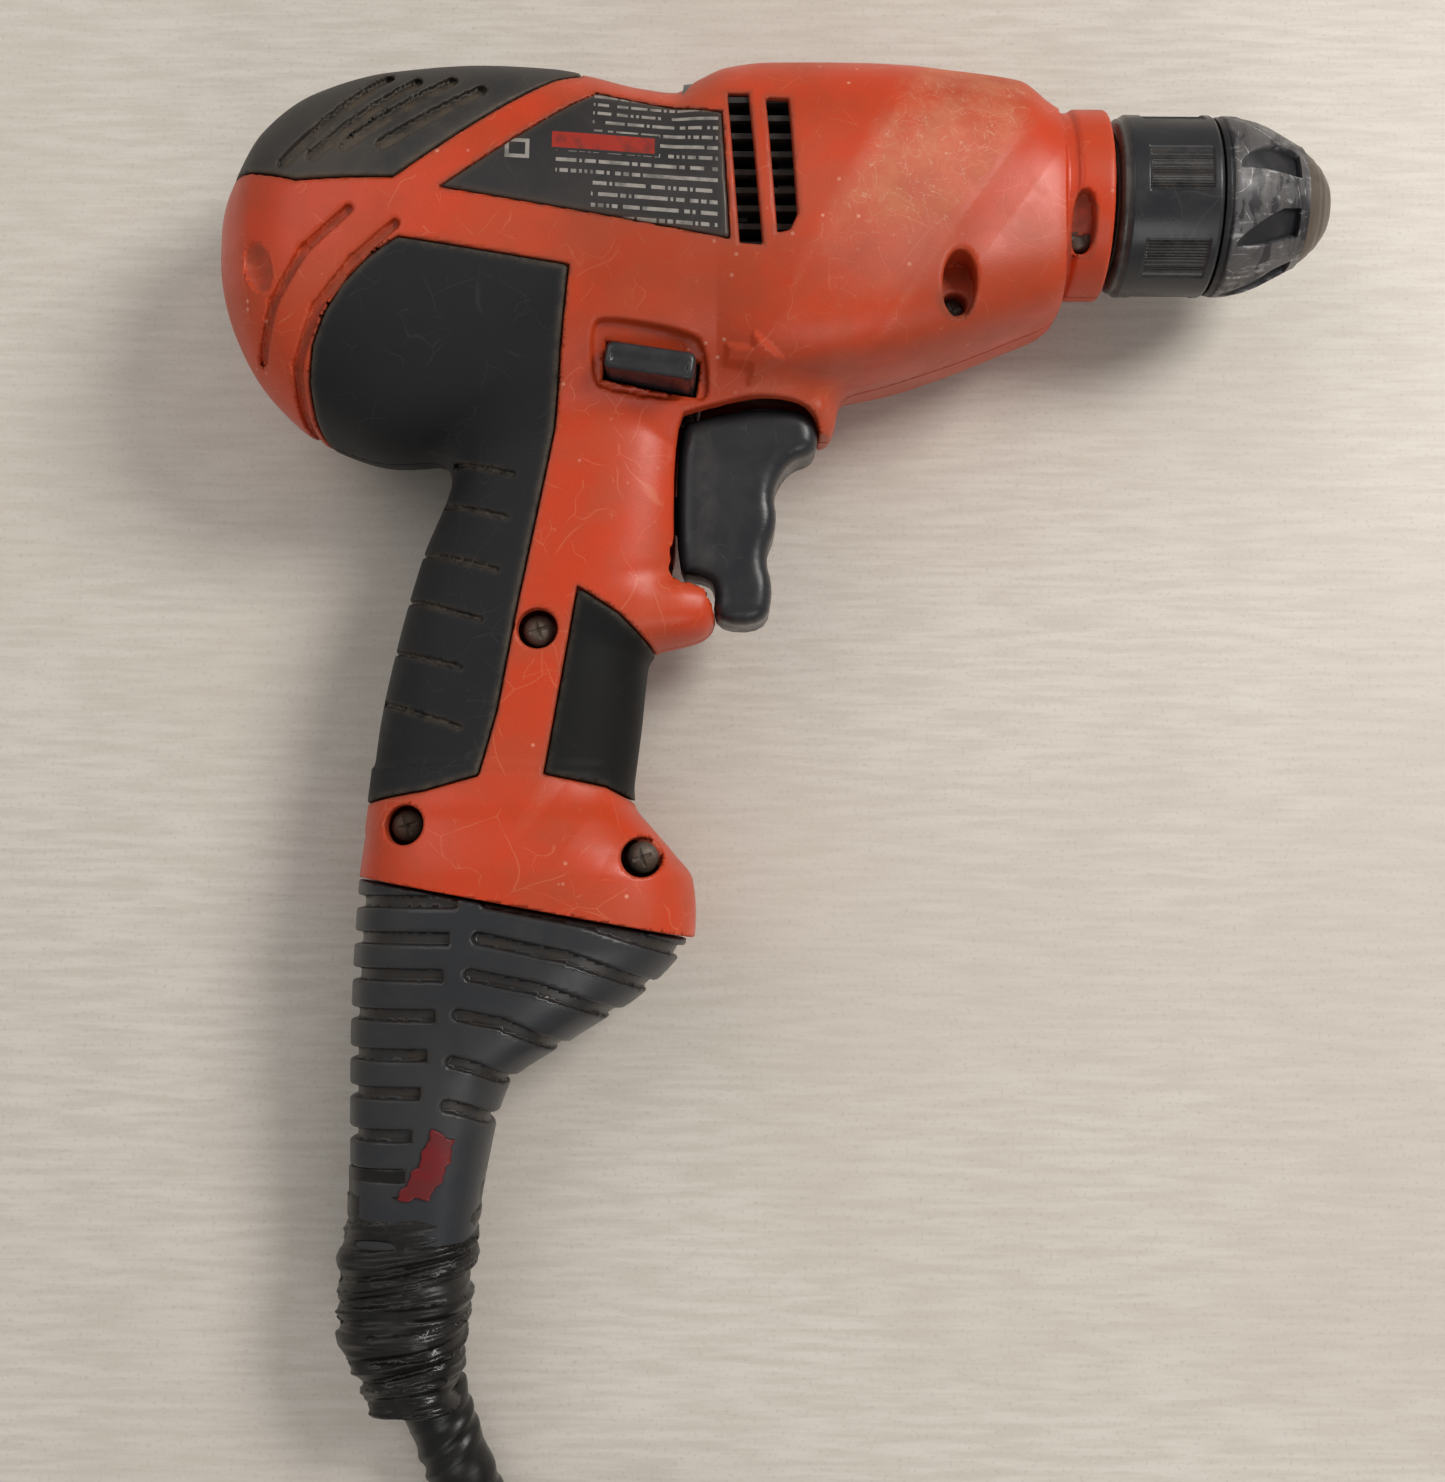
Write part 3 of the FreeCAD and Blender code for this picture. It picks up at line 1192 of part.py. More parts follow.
def make_plug(tail_points):
    end = tail_points[-1]
    along = end - tail_points[-2]
    turn = math.degrees(math.atan2(along.y, along.x))
    relief = Part.makeCone(cord_radius + plug_relief_rear, plug_relief_front, plug_rear + 2, vec(0, 0, 0),
                           vec(1, 0, 0))
    low = -cord_radius - tail_lift
    block = box(plug_rear, plug_length, -plug_half_width, plug_half_width, low, low + plug_height)
    uprights = [edge for edge in block.Edges if edge.BoundBox.ZLength > 5 or edge.BoundBox.XLength > 5]
    block = block.makeFillet(3.0, uprights)
    relief.translate(vec(0, 0, 3.0))
    body_solid = block.fuse(relief)
    blades = []
    for side, width in blades_at:
        blades.append(box(plug_length - blade_root, plug_length + blade_reach,
                          side - blade_thickness / 2, side + blade_thickness / 2,
                          blade_height - width / 2, blade_height + width / 2))
    body_solid = body_solid.cut(Part.makeCompound(blades))
    for shape in [body_solid] + blades:
        shape.rotate(vec(0, 0, 0), vec(0, 0, 1), turn)
        shape.translate(end)
    return body_solid, Part.makeCompound(blades)


def main():
    os.makedirs("parts", exist_ok=True)
    nodes = make_housing()
    nodes["stator_core"], nodes["field_coils"] = make_stator()
    nodes["armature_core"], nodes["armature_windings"], nodes["commutator"] = make_armature()
    nodes["brush_holders"], nodes["carbon_brushes"], nodes["brush_springs"] = make_brushes()
    nodes["cooling_fan"] = make_fan()
    nodes["fan_baffle"] = make_baffle()
    wheel, motor_pinion, jackshaft, gear = make_gears()
    nodes["first_stage_wheel"] = wheel
    nodes["jackshaft"] = jackshaft
    nodes["spindle_gear"] = gear
    nodes["armature_shaft"] = make_motor_shaft(motor_pinion)
    nodes.update(make_bearings())
    nodes["gear_case"], nodes["gear_case_cover"], nodes["spindle_seal"], nodes["gear_bushes"] = make_gear_case()
    nodes["spindle"] = make_spindle()
    chuck, jaws = make_chuck()
    nodes.update(chuck)
    for index, jaw in enumerate(jaws):
        nodes[f"chuck_jaw_{index + 1}"] = jaw
    nodes["trigger"] = trigger()
    nodes["trigger_spring"] = make_trigger_spring()
    nodes["switch"] = make_switch()
    nodes["reverse_bar"] = reverse_bar()
    nodes["lock_button"] = make_lock_button()
    nodes["housing_screws"] = make_screws()
    nodes["cord_boot"] = make_boot()
    nodes["cord_inner_run"] = inner_cord()
    nodes["cord_clamp"], nodes["clamp_screws"] = make_clamp()
    nodes["red_tape_patch"] = make_patch()
    nodes["cord_boot"] = nodes["cord_boot"].cut(nodes["cord_clamp"])
    nodes["gear_bushes"] = nodes["gear_bushes"].cut(nodes["motor_bearing_front"])
    for half in ("housing_right", "housing_left"):
        for inner in ("cord_boot", "cord_clamp", "clamp_screws", "cord_inner_run", "gear_case"):
            nodes[half] = nodes[half].cut(nodes[inner])
    for shape in nodes.values():
        lie_down(shape)
    knot = lie_down(upright(knot_sections, 0, 2.4).cut(boot_outer()))
    bounds = None
    for shape in list(nodes.values()) + [knot]:
        box_found = shape.optimalBoundingBox(False)
        bounds = box_found if bounds is None else bounds.united(box_found)
    ground = bounds.ZMin
    nodes["supply_cord"], nodes["cord_tape_sleeve"], join = make_cord(ground)
    nodes["tape_knot"] = knot.cut(nodes["supply_cord"]).cut(nodes["cord_tape_sleeve"])
    nodes["cord_coil"], nodes["cord_tail"], nodes["cord_tie"], tail_points = make_coil(ground, join)
    nodes["supply_cord"] = nodes["supply_cord"].cut(nodes["cord_coil"]).cut(nodes["cord_inner_run"])
    nodes["plug_body"], nodes["plug_blades"] = make_plug(tail_points)
    nodes["plug_body"] = nodes["plug_body"].cut(nodes["cord_tail"])
    shift = vec(-bounds.Center.x, -bounds.Center.y, -ground)
    for name, shape in nodes.items():
        shape.translate(shift)
        shape.exportStep(f"parts/{name}.step")
    print(f"{len(nodes)} nodes; design origin lies at {shift.x:.3f}, {shift.y:.3f}, {shift.z:.3f} mm; "
          f"tilt {rest_tilt:.4f} deg")


main()
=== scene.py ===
import json
import math
import bmesh
import bpy
import numpy as np
from mathutils import Matrix, Vector


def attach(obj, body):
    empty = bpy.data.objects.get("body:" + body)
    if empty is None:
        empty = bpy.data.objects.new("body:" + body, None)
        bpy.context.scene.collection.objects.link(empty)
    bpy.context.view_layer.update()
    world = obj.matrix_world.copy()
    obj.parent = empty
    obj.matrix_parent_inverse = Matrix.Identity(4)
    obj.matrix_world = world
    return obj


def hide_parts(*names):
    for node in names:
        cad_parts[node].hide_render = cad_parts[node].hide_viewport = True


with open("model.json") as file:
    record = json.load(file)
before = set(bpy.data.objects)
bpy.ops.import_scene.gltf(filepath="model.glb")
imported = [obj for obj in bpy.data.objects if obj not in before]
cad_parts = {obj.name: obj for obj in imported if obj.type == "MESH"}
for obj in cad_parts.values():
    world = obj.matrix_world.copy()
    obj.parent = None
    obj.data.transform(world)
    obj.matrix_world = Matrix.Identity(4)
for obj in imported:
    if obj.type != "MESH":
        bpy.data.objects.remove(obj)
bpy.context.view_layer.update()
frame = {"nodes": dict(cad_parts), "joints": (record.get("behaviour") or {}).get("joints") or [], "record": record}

# the drill is drawn upright in its own millimetres (x along the spindle, y up, z to its right side),
# then tipped so that the barrel and the foot rest on the ground
tipAngle = math.radians(3.2485)
spindlePlace = [1000 * v for v in next(j for j in frame["joints"] if j["name"] == "spindle_spin")["pos_m"]]
drillShift = np.array([spindlePlace[0] + 30, spindlePlace[1], spindlePlace[2]])


def toWorld(points):
    p = np.asarray(points, float).reshape(-1, 3)
    c, s = math.cos(tipAngle), math.sin(tipAngle)
    turned = np.stack([p[:, 0], p[:, 1] * c - p[:, 2] * s, p[:, 1] * s + p[:, 2] * c], 1)
    return (turned + drillShift) / 1000


def turnOnly(directions):
    d = np.asarray(directions, float).reshape(-1, 3)
    c, s = math.cos(tipAngle), math.sin(tipAngle)
    return np.stack([d[:, 0], d[:, 1] * c - d[:, 2] * s, d[:, 1] * s + d[:, 2] * c], 1)


# ---- camera
cameraPlan = {"place": (-89.87, -165.88, 463.27), "lean": 4.5, "roll": 0.4, "lens": 47.97}
lean, roll = math.radians(cameraPlan["lean"]), math.radians(cameraPlan["roll"])
levelRight = np.array([1.0, 0, 0])
levelUp = np.array([0, math.cos(lean), math.sin(lean)])
lookAlong = np.array([0, math.sin(lean), -math.cos(lean)])
viewRight = levelRight * math.cos(roll) + levelUp * math.sin(roll)
viewUp = levelUp * math.cos(roll) - levelRight * math.sin(roll)
axesNow = turnOnly([viewRight, viewUp, -lookAlong])
eyeData = bpy.data.cameras.new("camera")
eyeData.sensor_fit = "VERTICAL"
eyeData.sensor_height = 36
eyeData.lens = cameraPlan["lens"]
eyeData.clip_start = 0.01
eye = bpy.data.objects.new("camera", eyeData)
bpy.context.scene.collection.objects.link(eye)
eyePlace = toWorld([cameraPlan["place"]])[0]
eye.matrix_world = Matrix([[axesNow[0][i], axesNow[1][i], axesNow[2][i], eyePlace[i]] for i in range(3)] + [[0, 0, 0, 1]])
bpy.context.scene.camera = eye


def srgb(r, g, b):
    def one(v):
        v = v / 255
        return v / 12.92 if v <= 0.04045 else ((v + 0.055) / 1.055) ** 2.4
    return (one(r), one(g), one(b), 1)


# ---- node helpers
def addNode(tree, kind, **settings):
    node = tree.nodes.new(kind)
    for key, value in settings.items():
        if key == "inputs":
            for name, v in value.items():
                if isinstance(v, bpy.types.NodeSocket):
                    tree.links.new(v, node.inputs[name])
                else:
                    node.inputs[name].default_value = v
        else:
            setattr(node, key, value)
    return node


def mixColour(tree, factor, a, b, blend="MIX"):
    node = addNode(tree, "ShaderNodeMix", data_type="RGBA", blend_type=blend)
    for socket, value in ((node.inputs[0], factor), (node.inputs[6], a), (node.inputs[7], b)):
        if isinstance(value, bpy.types.NodeSocket):
            tree.links.new(value, socket)
        else:
            socket.default_value = value
    return node.outputs[2]


def sums(tree, operation, a, b=0.0, clamp=False):
    node = addNode(tree, "ShaderNodeMath", operation=operation, use_clamp=clamp)
    for socket, value in ((node.inputs[0], a), (node.inputs[1], b)):
        if isinstance(value, bpy.types.NodeSocket):
            tree.links.new(value, socket)
        else:
            socket.default_value = value
    return node.outputs[0]


def spread(tree, value, low, high, toLow=0.0, toHigh=1.0):
    node = addNode(tree, "ShaderNodeMapRange", inputs={"Value": value, "From Min": low, "From Max": high,
                                                       "To Min": toLow, "To Max": toHigh})
    node.interpolation_type = "SMOOTHSTEP"
    return node.outputs[0]


def effectGroup(name, wanted, given):
    tree = bpy.data.node_groups.new(name, "ShaderNodeTree")
    for label, kind, value in wanted:
        socket = tree.interface.new_socket(name=label, in_out="INPUT", socket_type=kind)
        if value is not None:
            socket.default_value = value
    for label, kind in given:
        tree.interface.new_socket(name=label, in_out="OUTPUT", socket_type=kind)
    return tree, tree.nodes.new("NodeGroupInput"), tree.nodes.new("NodeGroupOutput")


def makeGrain():
    # fine moulded grain, soft blotches and thin curling scratches, as three masks and a height
    tree, start, end = effectGroup(
        "mouldedGrain",
        [("Place", "NodeSocketVector", None), ("Grain Size", "NodeSocketFloat", 2600.0),
         ("Blotch Size", "NodeSocketFloat", 55.0), ("Scratch Amount", "NodeSocketFloat", 0.5)],
        [("Grain", "NodeSocketFloat"), ("Blotch", "NodeSocketFloat"), ("Scratch", "NodeSocketFloat")])
    place = start.outputs["Place"]
    grain = addNode(tree, "ShaderNodeTexNoise", inputs={"Vector": place, "Scale": start.outputs["Grain Size"],
                                                        "Detail": 3.0})
    blotch = addNode(tree, "ShaderNodeTexNoise", inputs={"Vector": place, "Scale": start.outputs["Blotch Size"],
                                                         "Detail": 7.0, "Roughness": 0.62, "Distortion": 0.4})
    tree.links.new(grain.outputs[0], end.inputs["Grain"])
    tree.links.new(spread(tree, blotch.outputs[0], 0.34, 0.68), end.inputs["Blotch"])
    total = None
    for turn, scale, width in ((0.4, 42.0, 0.010), (1.9, 66.0, 0.012), (2.7, 95.0, 0.016)):
        bend = addNode(tree, "ShaderNodeTexNoise", inputs={"Vector": place, "Scale": scale * 0.55, "Detail": 2.0})
        shove = addNode(tree, "ShaderNodeVectorMath", operation="MULTIPLY_ADD",
                        inputs={0: bend.outputs["Color"], 1: (0.022, 0.022, 0.022), 2: place})
        around = addNode(tree, "ShaderNodeMapping", inputs={"Vector": shove.outputs[0], "Rotation": (0.2, 0.3, turn)})
        cells = addNode(tree, "ShaderNodeTexVoronoi", feature="DISTANCE_TO_EDGE",
                        inputs={"Vector": around.outputs[0], "Scale": scale})
        line = spread(tree, cells.outputs[0], 0.0, width, 1.0, 0.0)
        where = addNode(tree, "ShaderNodeTexNoise", inputs={"Vector": around.outputs[0], "Scale": scale * 1.3})
        line = sums(tree, "MULTIPLY", line, spread(tree, where.outputs[0], 0.53, 0.62))
        total = line if total is None else sums(tree, "MAXIMUM", total, line)
    total = sums(tree, "MULTIPLY", total, start.outputs["Scratch Amount"], True)
    tree.links.new(total, end.inputs["Scratch"])
    return tree


grainGroup = makeGrain()


def plainFinish(name, colour, dust, rough, look):
    # a moulded or metal finish: base colour, paler dust in blotches, scratches, and bump from the grain
    mat = bpy.data.materials.new(name)
    mat.use_nodes = True
    tree = mat.node_tree
    shader = tree.nodes["Principled BSDF"]
    coords = addNode(tree, "ShaderNodeTexCoord")
    shader.inputs["Specular IOR Level"].default_value = look.get("shine", 0.4)
    effect = addNode(tree, "ShaderNodeGroup")
    effect.node_tree = grainGroup
    tree.links.new(coords.outputs["Object"], effect.inputs["Place"])
    effect.inputs["Grain Size"].default_value = look.get("grain", 2600.0)
    effect.inputs["Blotch Size"].default_value = look.get("blotch", 55.0)
    effect.inputs["Scratch Amount"].default_value = look.get("scratch", 0.4)
    shade = mixColour(tree, sums(tree, "MULTIPLY", effect.outputs["Blotch"], look.get("dusty", 0.35)), colour, dust)
    shade = mixColour(tree, effect.outputs["Scratch"], shade, look.get("scratchColour", dust))
    shade = mixColour(tree, spread(tree, effect.outputs["Grain"], 0.35, 0.7, 0.0, look.get("speck", 0.12)), shade,
                      tuple(0.6 * c for c in colour[:3]) + (1,))
    roughness = spread(tree, effect.outputs["Blotch"], 0.0, 1.0, rough[0], rough[1])
    tree.links.new(roughness, shader.inputs["Roughness"])
    if look.get("metal"):
        shader.inputs["Metallic"].default_value = look["metal"]
    height = sums(tree, "ADD", sums(tree, "MULTIPLY", effect.outputs["Grain"], look.get("grainDeep", 0.5)),
                  sums(tree, "MULTIPLY", effect.outputs["Scratch"], -0.4))
    bump = addNode(tree, "ShaderNodeBump", inputs={"Height": height, "Strength": look.get("bump", 0.12),
                                                   "Distance": 0.0004})
    tree.links.new(bump.outputs[0], shader.inputs["Normal"])
    return mat, tree, shader, shade, effect, bump


def simpleFinish(name, colour, dust, rough, **look):
    mat, tree, shader, shade, effect, bump = plainFinish(name, colour, dust, rough, look)
    tree.links.new(shade, shader.inputs["Base Color"])
    return mat


# ---- mesh from a field: the field is below 0 inside the piece
def meshFromField(name, field, low, high, cell):
    low = np.asarray(low, float)
    counts = [int(math.ceil((high[i] - low[i]) / cell)) + 1 for i in range(3)]
    lines = [low[i] + cell * np.arange(counts[i]) for i in range(3)]
    value = field(lines[0][:, None, None], lines[1][None, :, None], lines[2][None, None, :])
    value = np.broadcast_to(value, counts).astype(np.float32)
    corner = {}
    solid = value < 0
    total = np.zeros([n - 1 for n in counts], np.int8)
    for a in (0, 1):
        for b in (0, 1):
            for c in (0, 1):
                part = (slice(a, counts[0] - 1 + a), slice(b, counts[1] - 1 + b), slice(c, counts[2] - 1 + c))
                corner[a, b, c] = part
                total += solid[part]
    live = (total > 0) & (total < 8)
    number = np.full(live.shape, -1, np.int64)
    number[live] = np.arange(live.sum())
    held = {key: value[part][live] for key, part in corner.items()}
    place = np.zeros((int(live.sum()), 3))
    share = np.zeros(int(live.sum()))
    for a, b in [(p, q) for p in corner for q in corner if p < q and sum(abs(p[i] - q[i]) for i in range(3)) == 1]:
        crossed = (held[a] < 0) != (held[b] < 0)
        gap = np.where(crossed, held[a] - held[b], 1)
        t = np.where(crossed, held[a] / gap, 0)
        step = np.array(b, float) - np.array(a, float)
        place += np.where(crossed[:, None], np.array(a, float) + t[:, None] * step, 0)
        share += crossed
    points = low + cell * (np.argwhere(live) + place / share[:, None])
    faces = []
    for axis in range(3):
        u, v = (axis + 1) % 3, (axis + 2) % 3
        size = [slice(None)] * 3
        size[axis] = slice(0, counts[axis] - 1)
        size[u] = slice(1, counts[u] - 1)
        size[v] = slice(1, counts[v] - 1)
        ahead = list(size)
        ahead[axis] = slice(1, counts[axis])
        here, there = solid[tuple(size)], solid[tuple(ahead)]
        found = np.argwhere(here != there)
        out = here[tuple(found.T)]
        base = found.copy()
        base[:, u] += 1
        base[:, v] += 1
        quad = []
        for du, dv in ((-1, -1), (0, -1), (0, 0), (-1, 0)):
            spot = base.copy()
            spot[:, u] += du
            spot[:, v] += dv
            quad.append(number[tuple(spot.T)])
        quad = np.stack(quad, 1)
        quad[~out] = quad[~out][:, ::-1]
        faces.append(quad)
    faces = np.concatenate(faces)

    def slopeAt(p, reach):
        g = []
        for axis in range(3):
            step = np.zeros(3)
            step[axis] = reach
            more, less = p + step, p - step
            g.append(field(more[:, 0], more[:, 1], more[:, 2]) - field(less[:, 0], less[:, 1], less[:, 2]))
        return np.stack(g, 1) / (2 * reach)

    for turn in range(2):
        slope = slopeAt(points, 0.15)
        now = field(points[:, 0], points[:, 1], points[:, 2])
        push = now[:, None] * slope / np.maximum((slope ** 2).sum(1), 0.2)[:, None]
        length = np.sqrt((push ** 2).sum(1))
        points -= push * np.minimum(1, 0.4 * cell / np.maximum(length, 1e-9))[:, None]
    normals = slopeAt(points, 0.22)
    normals /= np.maximum(np.sqrt((normals ** 2).sum(1)), 1e-9)[:, None]
    return pieceFromArrays(name, points, faces, normals), points


def pieceFromArrays(name, points, faces, normals=None):
    mesh = bpy.data.meshes.new(name)
    mesh.from_pydata(toWorld(points).tolist(), [], np.asarray(faces).tolist())
    mesh.validate()
    mesh.shade_smooth()
    if normals is not None:
        mesh.normals_split_custom_set_from_vertices(turnOnly(normals).tolist())
    piece = bpy.data.objects.new(name, mesh)
    bpy.context.scene.collection.objects.link(piece)
    return piece


def paintMask(piece, name, values):
    layer = piece.data.attributes.new(name, "FLOAT", "POINT")
    layer.data.foreach_set("value", np.clip(values, 0, 1).astype(np.float32))


def smoothCurve(knots, values, at):
    # monotone cubic through the stations, so none makes its neighbour overshoot
    x, y = np.asarray(knots, float), np.asarray(values, float)
    step = np.diff(x)
    slope = np.diff(y) / step
    tangent = np.zeros_like(y)
    same = slope[:-1] * slope[1:] > 0
    wa, wb = 2 * step[1:] + step[:-1], step[1:] + 2 * step[:-1]
    tangent[1:-1] = np.where(same, (wa + wb) / (wa / np.where(same, slope[:-1], 1) + wb / np.where(same, slope[1:], 1)), 0)
    tangent[0], tangent[-1] = slope[0], slope[-1]
    at = np.clip(at, x[0], x[-1])
    i = np.clip(np.searchsorted(x, at) - 1, 0, len(x) - 2)
    t = (at - x[i]) / step[i]
    return ((2 * t ** 3 - 3 * t ** 2 + 1) * y[i] + (t ** 3 - 2 * t ** 2 + t) * step[i] * tangent[i]
            + (-2 * t ** 3 + 3 * t ** 2) * y[i + 1] + (t ** 3 - t ** 2) * step[i] * tangent[i + 1])


def ovalField(a, b, halfA, halfB, power):
    r = np.sqrt(a * a + b * b) + 1e-6
    q = ((np.abs(a) / halfA) ** power + (np.abs(b) / halfB) ** power) ** (1 / power) + 1e-6
    return r * (1 - 1 / q)


def softUnion(a, b, reach):
    h = np.clip(0.5 + 0.5 * (b - a) / reach, 0, 1)
    return b + (a - b) * h - reach * h * (1 - h)


def softCommon(a, b, reach):
    return -softUnion(-a, -b, reach)


def softCut(a, b, reach):
    return -softUnion(-a, b, reach)


def rounded(corners, times):
    # corners cut back again and again until the outline is a curve
    for turn in range(times):
        cut = []
        for i in range(len(corners)):
            (ax, ay), (bx, by) = corners[i], corners[(i + 1) % len(corners)]
            cut += [(0.75 * ax + 0.25 * bx, 0.75 * ay + 0.25 * by), (0.25 * ax + 0.75 * bx, 0.25 * ay + 0.75 * by)]
        corners = cut
    return corners


def outlineField(corners, x, y):
    # signed distance to a closed outline, below 0 inside
    best = None
    inside = None
    for i in range(len(corners)):
        ax, ay = corners[i]
        bx, by = corners[(i + 1) % len(corners)]
        ex, ey = bx - ax, by - ay
        px, py = x - ax, y - ay
        t = np.clip((px * ex + py * ey) / (ex * ex + ey * ey), 0, 1)
        d = (px - ex * t) ** 2 + (py - ey * t) ** 2
        best = d if best is None else np.minimum(best, d)
        crossing = ((ay > y) != (by > y)) & (px < ex * py / (ey if ey else 1e-9))
        inside = crossing if inside is None else inside ^ crossing
    return np.where(inside, -1, 1) * np.sqrt(best)


def lineField(a, b, x, y):
    ex, ey = b[0] - a[0], b[1] - a[1]
    px, py = x - a[0], y - a[1]
    t = np.clip((px * ex + py * ey) / (ex * ex + ey * ey), 0, 1)
    return np.sqrt((px - ex * t) ** 2 + (py - ey * t) ** 2)


# ---- the body's own shape: stations along x, or up y, each list side by side
barrelShape = {
    "at": [-210.0, -208.6, -205, -198, -186, -168, -147, -131, -122, -111, -102, -96.5, -90, -80, -60, -38, -21, -14, -11.2],
    "top": [-10, -3, 4, 14.5, 23, 28, 29.6, 28.8, 27.2, 24.4, 23.2, 26.5, 29.6, 31, 31.2, 30.2, 28.6, 23.5, 21.6],
    "bottom": [-19, -26, -36.5, -48.5, -58.5, -63.8, -61.5, -58, -56, -54, -52.5, -51.5, -50.5, -49.5, -46.5, -39.8,
               -33, -30, -28],
    "half": [3, 9, 17, 25.5, 31, 34, 34.5, 34.5, 34.5, 34.3, 34, 33.8, 33.6, 33.4, 32.5, 30, 26.5, 24.5, 23.4],
    "power": 2.5,
}
gripShape = {
    "at": [-150, -128, -110, -88, -68, -52, -20],
    "rear": [-171.9, -169.8, -166.4, -160.7, -153.5, -151.5, -150],
    "front": [-112, -109.3, -107.4, -98.5, -97, -96.6, -97],
    "half": [19.6, 19, 19, 19, 19, 18.6, 17],
    "power": 2.6,
}
footShape = {
    "at": [-182, -170, -162, -156, -150, -145, -138],
    "rear": [-174.6, -174.1, -173.5, -172.8, -172, -171.4, -170.6],
    "front": [-96.6, -95.8, -96.6, -101, -106.2, -110.5, -114],
    "half": [25.6, 26, 26, 25.2, 23.4, 21, 18.5],
    "power": 3.0,
}
browShape = {
    "at": [-62.2, -59, -54, -46, -30],
    "rear": [-114, -116, -118, -120, -122],
    "front": [-68.5, -65.5, -63.6, -62.8, -62],
    "half": [11, 14.5, 17, 19.5, 22],
    "power": 3.0,
}
guardShape = {
    "at": [-124, -112, -101, -95, -92.6, -91.4],
    "middle": [-100, -99.8, -99.2, -98.8, -98.6, -98.6],
    "reach": [10.5, 9.6, 8.2, 6.8, 5.0, 2.0],
    "half": [15, 16, 15.2, 13.4, 11.2, 6],
}
bootShape = {
    "at": [-247, -228, -210, -199, -188, -176.5, -158],
    "rear": [-174, -174.8, -175.1, -175.2, -175, -174.6, -173.6],
    "front": [-146.5, -143.6, -139, -124, -107.5, -98, -94.9],
    "half": [12.6, 13.8, 16.2, 18.8, 22, 24.4, 24.6],
    "power": 2.7,
}
knotShape = {
    "at": [-284, -275, -266, -258, -250, -241.5, -227],
    "rear": [-169, -173.2, -177.2, -177.0, -177.4, -176.0, -175.4],
    "front": [-149.6, -148.6, -147.4, -146.8, -145.8, -145.0, -143.4],
    "half": [9.6, 12.0, 14.0, 13.8, 14.2, 13.4, 14.0],
    "power": 2.4,
}
outlines = {
    "rearPad": [(-163, -20), (-125, -26), (-129, -60), (-132.5, -78), (-137, -101), (-141, -124), (-145, -139),
                (-157, -142.5), (-190, -148), (-195, -110), (-178, -84), (-192, -74), (-183.5, -64), (-184.2, -57),
                (-184.0, -50), (-182.6, -43), (-179.6, -36.5), (-175.4, -30.5), (-170, -25), (-166, -22)],
    "frontPad": [(-123, -96), (-114, -101.5), (-104, -111), (-96, -135), (-104, -147), (-116.5, -141), (-130, -138.5)],
    "topPad": [(-200, 12), (-196, 36), (-124, 36), (-124, 23), (-129, 20.5), (-164.5, -6), (-187, -5.5), (-206, 1)],
    "label": [(-119.5, 16.5), (-91, 10.5), (-89, -19.5), (-154, -8.5)],
    "leverPocket": [(-119.8, -39.0), (-117.6, -36.6), (-97.2, -39.4), (-94.6, -42), (-93.6, -50.5), (-95.6, -52.9),
                    (-117.6, -51), (-119.9, -49)],
    "trigger": [(-101, -56), (-96, -54.4), (-87, -52.2), (-81.7, -51.3), (-73, -51.8), (-69.3, -54), (-67.9, -58),
                (-68.6, -62.2), (-74.8, -64.2), (-78.6, -71.5), (-77.2, -79), (-80.4, -87), (-78.2, -94),
                (-79.8, -103), (-92.4, -102.6), (-91.6, -93), (-96, -91), (-101, -91)],
    "slotOne": [(-89.8, 15.9), (-85.0, 15.7), (-81.6, -20.8), (-86.8, -20.4)],
    "slotTwo": [(-81.1, 14.4), (-75.9, 14.2), (-73.9, -13.6), (-75.6, -17.4), (-78.4, -18.0)],
    "collarSlot": [(-9.2, -6.0), (-7.4, -3.2), (-5.4, -6.0), (-5.2, -14.0), (-7.4, -16.4), (-9.4, -14.0)],
    "arrow": [(-89.4, -41.8), (-83.6, -42.4), (-83.4, -39.6), (-77.2, -44.4), (-84.2, -48.8), (-84.0, -45.8),
              (-89.8, -45.2)],
}
for name in ("trigger", "leverPocket", "collarSlot"):
    outlines[name] = rounded(outlines[name], 2)
padCuts = {
    "rearPad": [((-152.5, -66), (-138, -70)), ((-154.5, -76), (-139.5, -80)), ((-160, -87), (-141.5, -92)),
                ((-163, -98), (-145, -103.5)), ((-166, -110), (-149.5, -114.5)), ((-168, -122), (-149.5, -128))],
    "frontPad": [],
    "topPad": [((-190, -1), (-168, 21)), ((-183, 0), (-161, 19)), ((-175.5, 2), (-153, 19)), ((-167, 2), (-146, 16))],
}
intakeLines = [((-163.8, -17), (-173, -25)), ((-173, -25), (-181.5, -35)), ((-181.5, -35), (-186.6, -46.5)),
               ((-186.6, -46.5), (-187.2, -58)), ((-174.5, -13.5), (-184.5, -22)), ((-184.5, -22), (-191.8, -33)),
               ((-191.8, -33), (-195.5, -44))]
screwPlaces = [(-37.6, -30.6), (-132.1, -105.5), (-161.2, -150.4), (-107.9, -157.2)]
collarScrew = (-6.6, -11.0)
bootRear = [(-167.5, -148.7), (-175.7, -150.3), (-183.9, -151.6), (-192.9, -153.6), (-201.9, -155.6), (-210.5, -157.2),
            (-220.1, -159.2), (-229, -160.8)]
bootFront = [((-141.8, -167.5), (-120, -171.6), (-98, -179)), ((-143.7, -175.5), (-124, -179.6), (-103, -187.5)),
             ((-145.4, -183.7), (-131, -186.6), (-112, -193.5)), ((-148.2, -192.7), (-139, -194.5), (-126, -200.5)),
             ((-149.9, -203.3), (-145, -204.6), (-136, -209)), ((-151.2, -213.3), (-147, -214.4), (-140, -218))]


